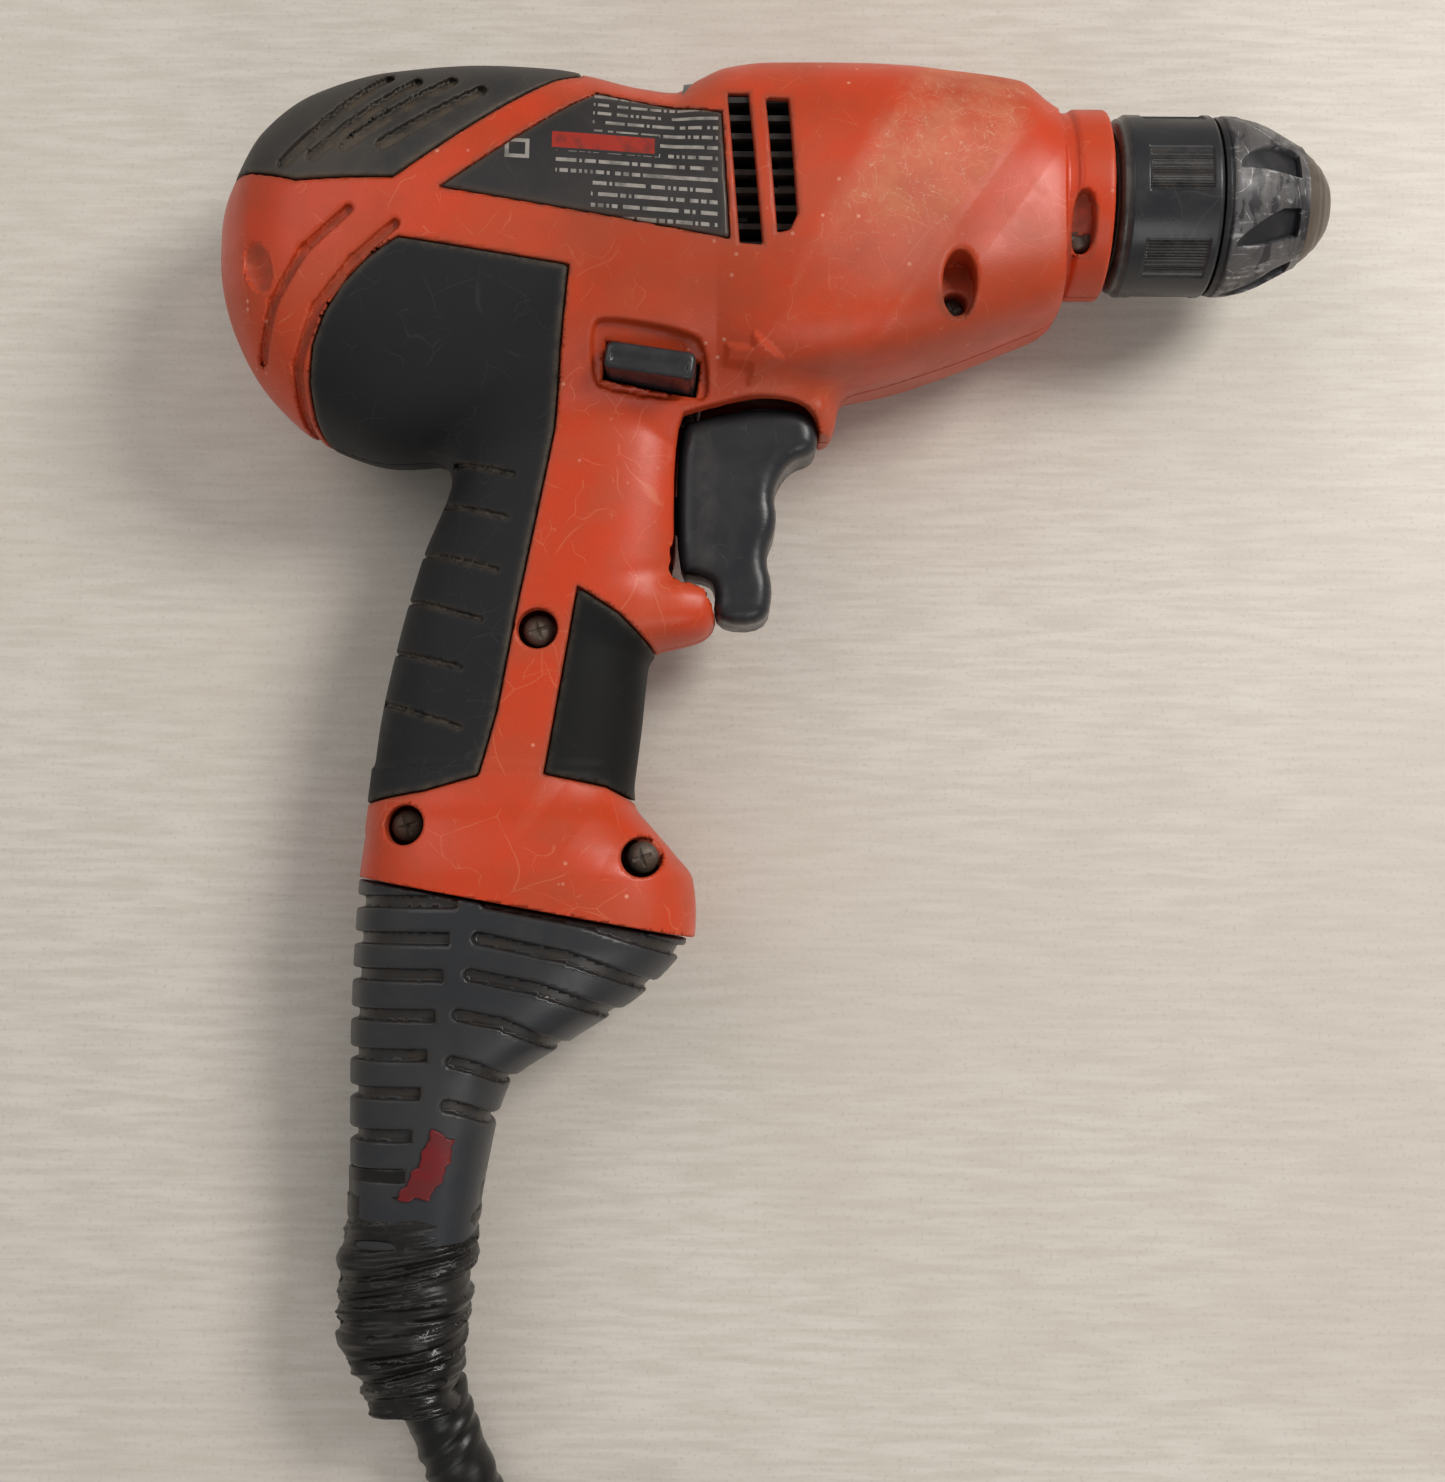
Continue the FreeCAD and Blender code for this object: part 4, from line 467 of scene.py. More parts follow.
def stationField(shape, x, y, z):
    rear = smoothCurve(shape["at"], shape["rear"], y)
    front = smoothCurve(shape["at"], shape["front"], y)
    half = smoothCurve(shape["at"], shape["half"], y)
    oval = ovalField(x - (rear + front) / 2, z, (front - rear) / 2, half, shape["power"])
    return np.maximum(oval, np.maximum(shape["at"][0] - y, y - shape["at"][-1]))


def barrelField(x, y, z):
    top = smoothCurve(barrelShape["at"], barrelShape["top"], x)
    low = smoothCurve(barrelShape["at"], barrelShape["bottom"], x)
    half = smoothCurve(barrelShape["at"], barrelShape["half"], x)
    boxy = barrelShape["power"] + 1.7 * np.clip((x + 92) / 26, 0, 1)
    power = np.where(y < (top + low) / 2, boxy, barrelShape["power"])
    oval = ovalField(y - (top + low) / 2, z, (top - low) / 2, half, power)
    return np.maximum(oval, np.maximum(barrelShape["at"][0] - x, x - barrelShape["at"][-1]))


def guardField(x, y, z):
    middle = smoothCurve(guardShape["at"], guardShape["middle"], x)
    reach = smoothCurve(guardShape["at"], guardShape["reach"], x)
    half = smoothCurve(guardShape["at"], guardShape["half"], x)
    oval = ovalField(y - middle, z, reach, half, 2.6)
    return np.maximum(oval, np.maximum(guardShape["at"][0] - x, x - guardShape["at"][-1]))


def bodyField(x, y, z):
    upper = softUnion(barrelField(x, y, z), stationField(gripShape, x, y, z), 9.0)
    upper = softUnion(upper, stationField(browShape, x, y, z), 5.0)
    upper = softUnion(upper, guardField(x, y, z), 4.0)
    return softUnion(upper, stationField(footShape, x, y, z), 3.0)


def facets(x, y):
    # the nose is drawn back in flat facets, met by two slanting creases
    ahead = ((x + 52.5) * 29.7 - (y - 14.4) * 15.1) / 33.3
    below = ((x + 28.8) * 40.4 - (y + 1.5) * 28.0) / 49.2
    return 1.5 * np.clip(ahead / 22, 0, 1) - 0.9 * np.clip(below / 9, 0, 1)


def panelCut(f, deep, outline, gap):
    # what is cut from the shell for an inset panel
    return np.maximum(outline - gap, -(f + deep))


rimPath = [(-96.5, -90), (-97.2, -81.3), (-96.4, -69.6), (-93.2, -60.1), (-88, -53), (-81.7, -50.4), (-73, -50.4),
           (-68.5, -52.6)]


def shellField(side):
    def field(x, y, z):
        z = z * side
        raw = bodyField(x, y, z)
        f = raw + facets(x, y) * np.clip((z - 6) / 12, 0, 1)
        dent = ((x + 195.7) * 0.94 + (y + 24.8) * 0.34) / 3.4, ((y + 24.8) * 0.94 - (x + 195.7) * 0.34) / 6.2
        f = f + 2.0 * np.clip(1 - dent[0] ** 2 - dent[1] ** 2, 0, 1) ** 0.55
        for i in range(len(rimPath) - 1):
            bead = np.sqrt(lineField(rimPath[i], rimPath[i + 1], x, y) ** 2 + (np.abs(z) - 11.2) ** 2) - 2.0
            f = softUnion(f, bead, 2.0)
        tube = np.sqrt(y * y + z * z)
        f = softUnion(f, np.maximum(tube - 21.4, np.maximum(-16 - x, x + 1.5)), 1.0)
        f = softUnion(f, softCommon(tube - 22.3, np.maximum(-8.8 - x, x + 0.3), 1.2), 0.8)
        for name in ("rearPad", "frontPad", "topPad"):
            f = softCut(f, panelCut(raw, 2.6, outlineField(outlines[name], x, y), 0.3), 0.5)
        if side > 0:
            f = softCut(f, panelCut(raw, 1.5, outlineField(outlines["label"], x, y), 0.1), 0.3)
            for sx, sy in screwPlaces:
                width = 4.6 if sx < -60 else 2.9
                hole = np.maximum(np.sqrt((x - sx) ** 2 + (y - sy) ** 2) - width, 12 - z)
                f = softCut(f, hole, 0.7)
            scoop = (np.sqrt(((x + 37.0) / 3.9) ** 2 + ((y + 27.2) / 7.2) ** 2) - 1) * 3.9
            f = softCut(f, np.maximum(scoop, 20.5 - 0.3 * (y + 27) - z), 1.0)
            slot = np.maximum(outlineField(outlines["collarSlot"], x, y) - 0.6, np.maximum(17.8 - tube, 4 - z))
            f = softCut(f, slot, 0.7)
            arrow = outlineField(outlines["arrow"], x, y)
            f = f - 0.75 * np.clip(0.5 - arrow / 1.5, 0, 1) * (z > 5)
        else:
            f = softCut(f, np.maximum(np.sqrt((x + 122) ** 2 + (y + 72) ** 2) - 4.7, 8 - z), 0.6)
        for a, b in intakeLines:
            f = softCut(f, np.maximum(lineField(a, b, x, y) - 1.15, -(raw + 1.8)), 0.8)
        for name in ("slotOne", "slotTwo"):
            f = softCut(f, np.maximum(outlineField(outlines[name], x, y), 14 - z), 0.9)
        pocket = softCommon(outlineField(outlines["leverPocket"], x, y), -(raw + 1.1 + 0.12 * np.clip(y + 50, 0, 14)), 0.8)
        f = softCut(f, pocket, 1.0)
        tipped = (x + 106.7) * 0.9903 - (y + 46.4) * 0.1392, (y + 46.4) * 0.9903 + (x + 106.7) * 0.1392
        f = softCut(f, np.maximum(np.maximum(np.abs(tipped[0]) - 10.8, np.abs(tipped[1]) - 3.8), 12 - z), 0.5)
        f = softCut(f, np.maximum(outlineField(outlines["trigger"], x, y) - 0.45, -40 - z + 0 * x), 0.8)
        well = np.maximum(np.abs(x + 84) - 24, np.maximum(np.abs(y + 78) - 20, np.abs(z) - 11.0))
        f = softCut(f, well, 0.6)
        f = np.maximum(f, (-192.3 - 0.176 * x) - y)
        solidPatch = 30 * np.clip((11 - np.sqrt((x + 37) ** 2 + (y + 27) ** 2)) / 2, 0, 1)
        f = softCommon(f, -(raw + 4.7 + 9 * np.clip((x + 24) / 4, 0, 1) + solidPatch), 0.4)
        f = softCommon(f, 14.5 - tube - 90 * (x < -16), 0.4)
        return softCommon(f, 0.03 - z, 0.7)
    return field


def nearLine(distance, reach):
    return np.exp(-(distance / reach) ** 2)


shellPlan = {"cell": 0.85, "low": (-212.5, -180, -1.0), "high": (1.2, 33.5, 37)}
shells = []
for side, word in ((1, "right"), (-1, "left")):
    low, high = list(shellPlan["low"]), list(shellPlan["high"])
    if side < 0:
        low[2], high[2] = -shellPlan["high"][2], 1.0
    piece, points = meshFromField("shell_" + word, shellField(side), low, high, shellPlan["cell"])
    x, y, z = points[:, 0], points[:, 1], points[:, 2] * side
    # edge: a mask that turns the orange darker brown; along the seam, pad borders, slots and intake lines it is dirt,
    # in the screw recesses, the rear dimple, the scoop and the collar slot it is painted shade
    edge = np.zeros(len(x))
    for name in ("rearPad", "frontPad", "topPad", "label"):
        edge = np.maximum(edge, nearLine(outlineField(outlines[name], x, y), 0.9))
    for name in ("slotOne", "slotTwo"):
        edge = np.maximum(edge, 0.7 * nearLine(outlineField(outlines[name], x, y), 1.0))
    for sx, sy in screwPlaces:
        edge = np.maximum(edge, np.clip((5.0 - np.hypot(x - sx, y - sy)) / 0.8, 0, 1))
    for a, b in intakeLines:
        edge = np.maximum(edge, 0.8 * nearLine(lineField(a, b, x, y), 1.2))
    edge = np.maximum(edge, 0.9 * nearLine(z, 0.5))
    # painted shade: the rear dimple, the scoop and the collar slot are darkened in the mask
    dent = ((x + 195.7) * 0.94 + (y + 24.8) * 0.34) / 3.4, ((y + 24.8) * 0.94 - (x + 195.7) * 0.34) / 6.2
    edge = np.maximum(edge, 0.55 * np.clip((1 - np.hypot(dent[0], dent[1])) / 0.1, 0, 1) * (z > 5))
    scoop = np.sqrt(((x + 37.0) / 3.9) ** 2 + ((y + 27.2) / 7.2) ** 2)
    edge = np.maximum(edge, 0.75 * np.clip((1.02 - scoop) / 0.2, 0, 1) * (z > 8))
    edge = np.maximum(edge, 0.8 * (np.abs(x + 7.3) < 3.2) * (np.abs(y + 10.1) < 7.4) * (z > 10) * (z < 21) * (side > 0))
    ahead = ((x + 52.5) * 29.7 - (y - 14.4) * 15.1) / 33.3
    below = ((x + 28.8) * 40.4 - (y + 1.5) * 28.0) / 49.2
    worn = np.clip(ahead / 3, 0, 1) * np.clip(-below / 3, 0, 1) * np.clip((-16 - x) / 6, 0, 1)
    worn = worn * (0.15 + 0.85 * np.clip((y + 24) / 14, 0, 1))
    worn = np.maximum(worn, 0.3 * nearLine(np.minimum(np.abs(ahead), np.abs(below)), 1.3) * (x > -75) * (y > -40))
    paintMask(piece, "grimeAndShade", edge)
    paintMask(piece, "worn", worn)
    shells.append(piece)
    print(piece.name, len(points), "points")


# ---- soft grips and the dark information panel, set into the shells
def padField(name, side, proud):
    def field(x, y, z):
        z = z * side
        raw = bodyField(x, y, z)
        f = softCommon(raw - proud, outlineField(outlines[name], x, y) + 0.1, 0.8)
        for a, b in padCuts.get(name, []):
            wide = 1.6 if name == "topPad" else 0.5
            deep = 1.4 if name == "topPad" else 0.6
            f = softCut(f, np.maximum(lineField(a, b, x, y) - wide, -(raw + deep)), 0.5)
        if side < 0 and name == "rearPad":
            f = softCut(f, np.maximum(np.sqrt((x + 122) ** 2 + (y + 72) ** 2) - 4.7, 8 - z), 0.5)
        f = np.maximum(f, -(raw + 2.5))
        return np.maximum(f, 0.05 - z)
    return field


pads = {}
padSpans = {"rearPad": ((-199, -150), (-122, -17)), "frontPad": ((-132, -150), (-98, -93)),
            "topPad": ((-208, -10), (-121, 34)), "label": ((-157, -22), (-86, 19))}
for name, word in (("rearPad", "rear_grip"), ("frontPad", "front_grip"), ("topPad", "top_pad"), ("label", "panel")):
    for side, hand in ((1, "right"), (-1, "left")):
        if name == "label" and side < 0:
            continue
        low, high = padSpans[name]
        reach = sorted((-0.8 * side, 36.5 * side))
        piece, points = meshFromField("soft_" + word + "_" + hand, padField(name, side, 0.25 if name != "label" else 0.02),
                                      (low[0], low[1], reach[0]), (high[0], high[1], reach[1]), 0.8)
        x, y = points[:, 0], points[:, 1]
        near = nearLine(outlineField(outlines[name], x, y), 1.1)
        for a, b in padCuts.get(name, []):
            near = np.maximum(near, nearLine(lineField(a, b, x, y), 1.7 if name == "topPad" else 0.8))
        paintMask(piece, "grimeAndShade", near)
        pads[name, side] = piece
print("pads done")


# ---- trigger, lever and lock button
def triggerField(x, y, z):
    f = softCommon(outlineField(outlines["trigger"], x, y), np.abs(z) - 10.4, 4.6)
    return softUnion(f, np.maximum(np.sqrt((y + 76) ** 2 + z * z) - 4.5, np.maximum(-107 - x, x + 96)), 0.5)


leverPlan = {"middle": (-106.7, -46.4), "half": (10.2, 3.2), "tilt": -8.0, "ends": (-26.0, 30.3)}


def leverField(x, y, z):
    t = math.radians(leverPlan["tilt"])
    u = (x - leverPlan["middle"][0]) * math.cos(t) + (y - leverPlan["middle"][1]) * math.sin(t)
    v = (y - leverPlan["middle"][1]) * math.cos(t) - (x - leverPlan["middle"][0]) * math.sin(t)
    side = softCommon(np.abs(u) - leverPlan["half"][0], np.abs(v) - leverPlan["half"][1], 2.0)
    f = softCommon(side, np.maximum(z - leverPlan["ends"][1], leverPlan["ends"][0] - z), 1.4)
    notch = np.sqrt((v + 0.6) ** 2 + (z - leverPlan["ends"][1] - 1.6) ** 2) - 2.0
    return softCut(f, np.maximum(notch, np.abs(u) - 8.6), 0.5)


triggerPiece, triggerPoints = meshFromField("trigger_shoe", triggerField, (-108, -104, -11.5), (-66.5, -50, 11.5), 0.6)
paintMask(triggerPiece, "grimeAndShade", nearLine(triggerPoints[:, 0] + 94, 3.0) * 0.35)
leverPiece, leverPoints = meshFromField("reverse_lever", leverField, (-118.5, -52, -28), (-95, -41, 32.5), 0.6)
paintMask(leverPiece, "grimeAndShade", 0.3 * nearLine(leverPoints[:, 2] - 31, 1.5))


# ---- cord boot, its red patch and the taped knot
def bootField(x, y, z):
    raw = stationField(bootShape, x, y, z)
    f = raw
    for gy, spine in bootRear:
        groove = np.maximum(np.abs(y - gy) - 1.35, np.maximum(x - spine, -(raw + 1.9)))
        f = softCut(f, groove, 0.9)
    for a, b, c in bootFront:
        d = np.minimum(lineField(a, b, x, y), lineField(b, c, x, y))
        f = softCut(f, np.maximum(d - 1.35, -(raw + 1.9)), 0.9)
    return softCommon(f, y - (-192.9 - 0.176 * x), 0.7)


bootPiece, bootPoints = meshFromField("ribbed_boot", bootField, (-177, -249, -26.5), (-93, -159, 26.5), 0.8)
x, y, z = bootPoints[:, 0], bootPoints[:, 1], bootPoints[:, 2]
near = np.zeros(len(x))
for gy, spine in bootRear:
    near = np.maximum(near, nearLine(y - gy, 1.5) * (x < spine + 1))
for a, b, c in bootFront:
    near = np.maximum(near, nearLine(np.minimum(lineField(a, b, x, y), lineField(b, c, x, y)), 1.5))
paintMask(bootPiece, "grimeAndShade", near)


def knotField(x, y, z):
    raw = stationField(knotShape, x, y, z)
    around = np.arctan2(z, x + 160)
    low = np.clip((-238 - y) / 6, 0, 1)
    fold = np.sin(1.05 * y + 2.0 * around + 1.4 * np.sin(0.31 * y + 1.7 * around)) ** 3
    crease = np.sin(0.55 * y - 3.0 * around + 2.0 * np.sin(0.8 * around)) + 0.5 * np.sin(1.9 * y + 5 * around)
    wrap = 0.35 * ((0.16 * y + around / 6.283) % 1.0)
    ends = np.maximum(y + 227.2, -284 - y)
    return softCommon(raw + 0.55 - low * (0.75 * fold + 0.42 * crease) - wrap, ends, 1.0)


knotPiece, knotPoints = meshFromField("tape_wrap", knotField, (-180.5, -286, -16.5), (-141, -226, 16.5), 0.75)
paintMask(knotPiece, "grimeAndShade", 0.25 + 0.3 * np.sin(0.7 * knotPoints[:, 1]) ** 2)


def patchField(x, y, z):
    raw = stationField(bootShape, x, y, z)
    ragged = 0.5 * np.sin(1.3 * x + 0.7 * y) + 0.3 * np.sin(2.9 * y)
    tape = outlineField([(-154.5, -218.5), (-149.3, -220.8), (-151.6, -229), (-155.0, -234), (-162.5, -234.5),
                         (-157.3, -226)], x, y) + ragged * 0.6
    return np.maximum(softCommon(tape, raw - 0.65, 0.3), np.maximum(-(raw + 0.3), -z))


patchPiece, patchPoints = meshFromField("red_tape", patchField, (-165, -237, 8), (-146, -216, 18), 0.35)
paintMask(patchPiece, "grimeAndShade", 0.3 + 0 * patchPoints[:, 0])
print("boot, knot and patch done")


# ---- the cord: its line from the boot to the coil, then the coil's turns and the tail
cordPlan = {"radius": 3.7, "outerTurn": 44.4, "innerTurn": 37.0, "turns": 6, "perTurn": 16, "length": 1.8}


def lyingPoint(x, y, height):
    # a point given in the tipped frame, by its height above the ground
    return np.array([x + drillShift[0], y + drillShift[1], height])


startUp = toWorld([(-160.25, -247.0, 0.0)])[0] * 1000
route = [startUp] + [lyingPoint(*p) for p in ((-158, -276, 16.0), (-148, -302, 9.8), (-137, -330, 8.7))]
join = lyingPoint(-140, -368, 3.8)
coilMiddle = join + np.array([cordPlan["outerTurn"], 0, 0])
slots = [(0, 0), (1, 0), (1, 1), (0, 1), (1, 2), (0, 2)]      # column from outside, layer from the ground
coilPoints = []
perTurn = cordPlan["perTurn"]
for step in range(1, int(cordPlan["turns"] * perTurn + perTurn / 4)):
    turn = step / perTurn
    column, layer = slots[0]
    for k in range(len(slots) - 1):
        begin = k + 1 - 0.17 * (k + 1)
        share = min(1.0, max(0.0, (turn - begin) / 0.13))
        column += (slots[k + 1][0] - slots[k][0]) * share
        layer += (slots[k + 1][1] - slots[k][1]) * share
    angle = math.pi + 2 * math.pi * turn
    reach = (cordPlan["outerTurn"] - column * 2 * cordPlan["radius"]) * 1.012
    coilPoints.append(coilMiddle + np.array([reach * math.cos(angle), reach * math.sin(angle),
                                             layer * 2 * cordPlan["radius"]]))
top = 6 * cordPlan["radius"]
tail = [coilMiddle + np.array([a, b, c - 3.8 + top]) for a, b, c in
        ((4.0, -44.4, -3.7), (26.0, -44.4, -6.5), (54.0, -41.0, -18.3), (80.0, -33.0, -18.3))]
allPoints = route + [join] + coilPoints + tail
curve = bpy.data.curves.new("mains_lead", "CURVE")
curve.dimensions = "3D"
line = curve.splines.new("NURBS")
line.points.add(len(allPoints) - 1)
for spot, p in zip(line.points, allPoints):
    spot.co = (p[0] / 1000, p[1] / 1000, p[2] / 1000, 1)
line.order_u = 3
line.use_endpoint_u = True
line.resolution_u = 6
bare = bpy.data.objects.new("lead_line", curve)
bpy.context.scene.collection.objects.link(bare)
bpy.context.view_layer.update()
centreMesh = bpy.data.meshes.new_from_object(bare.evaluated_get(bpy.context.evaluated_depsgraph_get()))
centreLine = np.array([v.co for v in centreMesh.vertices])
bpy.data.objects.remove(bare)
curve.bevel_depth = cordPlan["radius"] / 1000
curve.bevel_resolution = 5
curve.use_fill_caps = True
lead = bpy.data.objects.new("mains_lead", curve)
bpy.context.scene.collection.objects.link(lead)
leadLength = float(np.sqrt((np.diff(centreLine, axis=0) ** 2).sum(1)).sum())
print("lead", round(leadLength, 3), "m")


def tubeAlong(name, path, radiusAt, around=40):
    # a closed tube on a path, its radius a function of the way along in metres and the angle
    path = np.asarray(path)
    ahead = np.gradient(path, axis=0)
    ahead /= np.linalg.norm(ahead, axis=1)[:, None]
    way = np.concatenate([[0], np.cumsum(np.linalg.norm(np.diff(path, axis=0), axis=1))])
    side = np.cross(ahead, [0, 0, 1.0])
    side /= np.linalg.norm(side, axis=1)[:, None]
    up = np.cross(side, ahead)
    angle = np.linspace(0, 2 * math.pi, around, endpoint=False)
    radius = radiusAt(way[:, None], angle[None, :])
    points = path[:, None, :] + radius[..., None] * (side[:, None, :] * np.cos(angle)[None, :, None]
                                                     + up[:, None, :] * np.sin(angle)[None, :, None])
    rows = len(path)
    verts = np.concatenate([points.reshape(-1, 3), path[:1], path[-1:]])
    i, j = np.meshgrid(np.arange(rows - 1), np.arange(around), indexing="ij")
    k = (j + 1) % around
    quads = np.stack([i * around + j, i * around + k, (i + 1) * around + k, (i + 1) * around + j], -1).reshape(-1, 4)
    faces = quads.tolist()
    n = rows * around
    for j in range(around):
        faces.append([n, (j + 1) % around, j])
        faces.append([n + 1, n - around + j, n - around + (j + 1) % around])
    mesh = bpy.data.meshes.new(name)
    mesh.from_pydata(verts.tolist(), [], faces)
    bm = bmesh.new()
    bm.from_mesh(mesh)
    bmesh.ops.recalc_face_normals(bm, faces=bm.faces)
    bm.to_mesh(mesh)
    bm.free()
    mesh.shade_smooth()
    piece = bpy.data.objects.new(name, mesh)
    bpy.context.scene.collection.objects.link(piece)
    return piece


wayAlong = np.concatenate([[0], np.cumsum(np.sqrt((np.diff(centreLine, axis=0) ** 2).sum(1)))])
sleeveWay = np.linspace(0.031, 0.079, 120)
sleevePath = np.stack([np.interp(sleeveWay, wayAlong, centreLine[:, i]) for i in range(3)], 1)


def sleeveRadius(way, angle):
    fold = np.sin(900 * way + 2 * angle + 1.5 * np.sin(310 * way + angle))
    wrap = ((way * 95 + angle / 6.283) % 1.0)
    ends = np.clip(way / 0.002, 0.75, 1)
    return (0.0078 - 0.0002 * wrap + 0.00035 * fold) * ends


sleevePiece = tubeAlong("taped_lead", sleevePath, sleeveRadius)


# ---- chuck sleeves: turned profiles with grip patches, grooves and scooped wedges
chuckPlan = {"rearSleeve": (1.6, 25.0, 21.2), "frontSleeve": (25.5, 46.5), "nose": (46.8, 53.4), "patches": 6,
             "phase": 24.0, "wedges": 7}


def turnedPiece(name, xs, radii, innerRadius, displace, around=540):
    angle = np.linspace(0, 2 * math.pi, around, endpoint=False)
    x = np.asarray(xs, float)[:, None] + 0 * angle[None, :]
    r = np.asarray(radii, float)[:, None] + displace(x, np.degrees(angle)[None, :] + 0 * x)
    points = np.stack([x, r * np.cos(angle), r * np.sin(angle)], -1)
    rows = len(xs)
    inner = np.stack([x[[0, -1]], innerRadius * np.cos(angle) + 0 * x[[0, -1]], innerRadius * np.sin(angle) + 0 * x[[0, -1]]], -1)
    verts = np.concatenate([points.reshape(-1, 3), inner.reshape(-1, 3)])
    order = [rows] + list(range(rows)) + [rows + 1, rows]
    faces = []
    j = np.arange(around)
    k = (j + 1) % around
    for a, b in zip(order[:-1], order[1:]):
        faces.append(np.stack([a * around + j, a * around + k, b * around + k, b * around + j], 1))
    piece = pieceFromArrays(name, verts, np.concatenate(faces)[:, ::-1])
    bm = bmesh.new()
    bm.from_mesh(piece.data)
    bmesh.ops.recalc_face_normals(bm, faces=bm.faces)
    bm.to_mesh(piece.data)
    bm.free()
    piece.data.set_sharp_from_angle(angle=math.radians(50))
    return piece, verts


def rearBumps(x, degrees):
    step = 360 / chuckPlan["patches"]
    off = (degrees - 90 - chuckPlan["phase"]) % step - step / 2
    patch = np.clip((15.2 - np.abs(off)) / 0.9, 0, 1) * np.clip((x - 7.6) / 0.5, 0, 1) * np.clip((22.8 - x) / 0.5, 0, 1)
    ribs = 0.5 - 0.5 * np.cos(np.radians(off) * 360 / 2.15)
    rear = -0.9 * np.clip((4.2 - x) / 1.2, 0, 1)
    return patch * (-0.75 + 0.42 * ribs) + rear - 0.25 * np.clip((x - 24.0) / 0.6, 0, 1)


def wedgeShare(x, degrees):
    step = 360 / chuckPlan["wedges"]
    off = (degrees - 71 + step / 2) % step - step / 2
    half = 0.6 + 12.0 * np.clip((x - 28.5) / 11.0, 0, 1) ** 0.6
    inside = np.clip((half - np.abs(off - 12.5 + half)) / 0.8, 0, 1)
    return inside * np.clip((x - 28.5) / 0.6, 0, 1) * np.clip((44.2 - x) / 0.5, 0, 1)


def frontRadius(x):
    return np.interp(x, [25.5, 26.2, 28, 31, 34.6, 38, 41.6, 44, 46.5], [20.4, 20.9, 21.1, 20.9, 20.1, 18.8, 16.9, 15.6, 14.2])


rearStations = np.linspace(1.6, 25.0, 150)
rearRadii = chuckPlan["rearSleeve"][2] - 1.2 * np.clip((2.6 - rearStations) / 1.0, 0, 1) ** 2 - 0.8 * np.clip((rearStations - 24.4) / 0.6, 0, 1) ** 2
rearSleeve, rearPoints = turnedPiece("rear_sleeve", rearStations, rearRadii, 17.2, rearBumps)
frontStations = np.linspace(25.5, 46.5, 140)
smoothRadii = np.convolve(np.pad(frontRadius(frontStations), 6, "edge"), np.ones(13) / 13, "valid")


def frontBumps(x, degrees):
    scoop = wedgeShare(x, degrees) * (0.4 + 1.5 * np.clip((x - 30) / 12, 0, 1))
    return -scoop - 0.5 * nearLine(x - 26.9, 0.3)


frontSleeve, frontPoints = turnedPiece("front_sleeve", frontStations, smoothRadii, 12.6, frontBumps)
noseStations = np.concatenate([[1.4, 25.2, 25.4, 46.2], np.linspace(46.6, 53.5, 40)])
noseRadii = np.interp(noseStations, [1.4, 25.2, 25.4, 46.2, 46.6, 48.2, 50, 51.5, 52.6, 53.2, 53.5],
                      [16.0, 16.0, 11.8, 11.8, 13.9, 12.7, 11.1, 9.5, 8.0, 7.0, 6.2])
noseRadii[4:] = np.convolve(np.pad(noseRadii[4:], 2, "edge"), np.ones(5) / 5, "valid")
nosePiece, nosePoints = turnedPiece("chuck_nose", noseStations, noseRadii, 5.35, lambda x, d: 0.12 * np.sin(x * 3.1) * nearLine(x - 50.5, 1.5), 180)
frontAngles = np.degrees(np.arctan2(frontPoints[:, 2], frontPoints[:, 1])) % 360
share = wedgeShare(frontPoints[:, 0], frontAngles)
paintMask(frontSleeve, "wedge", np.clip(share + (frontPoints[:, 0] < 26.6) + 0.8 * nearLine(frontPoints[:, 0] - 27.0, 0.5), 0, 1))
paintMask(rearSleeve, "grimeAndShade", np.clip(-rearBumps(rearPoints[:, 0], np.degrees(np.arctan2(rearPoints[:, 2], rearPoints[:, 1])) % 360) * 1.1, 0, 1))
print("chuck done")


# ---- repeated pieces from node trees: screw heads in their recesses, and the shelves behind the vent slots
def newGeometryTree(name, wanted):
    tree = bpy.data.node_groups.new(name, "GeometryNodeTree")
    tree.interface.new_socket(name="Geometry", in_out="INPUT", socket_type="NodeSocketGeometry")
    for label, kind, value in wanted:
        socket = tree.interface.new_socket(name=label, in_out="INPUT", socket_type=kind)
        if value is not None:
            socket.default_value = value
    tree.interface.new_socket(name="Geometry", in_out="OUTPUT", socket_type="NodeSocketGeometry")
    return tree, tree.nodes.new("NodeGroupInput"), tree.nodes.new("NodeGroupOutput")


def bakeTree(name, tree, source, settings):
    mesh = bpy.data.meshes.new(name)
    mesh.from_pydata([tuple(p) for p in source], [], [])
    piece = bpy.data.objects.new(name, mesh)
    bpy.context.scene.collection.objects.link(piece)
    grow = piece.modifiers.new("grow", "NODES")
    grow.node_group = tree
    for item in tree.interface.items_tree:
        if item.item_type == "SOCKET" and item.in_out == "INPUT" and item.name in settings:
            grow[item.identifier] = settings[item.name]
    bpy.context.view_layer.update()
    done = bpy.data.meshes.new_from_object(piece.evaluated_get(bpy.context.evaluated_depsgraph_get()))
    piece.modifiers.remove(grow)
    piece.data = done
    done.name = name
    return piece


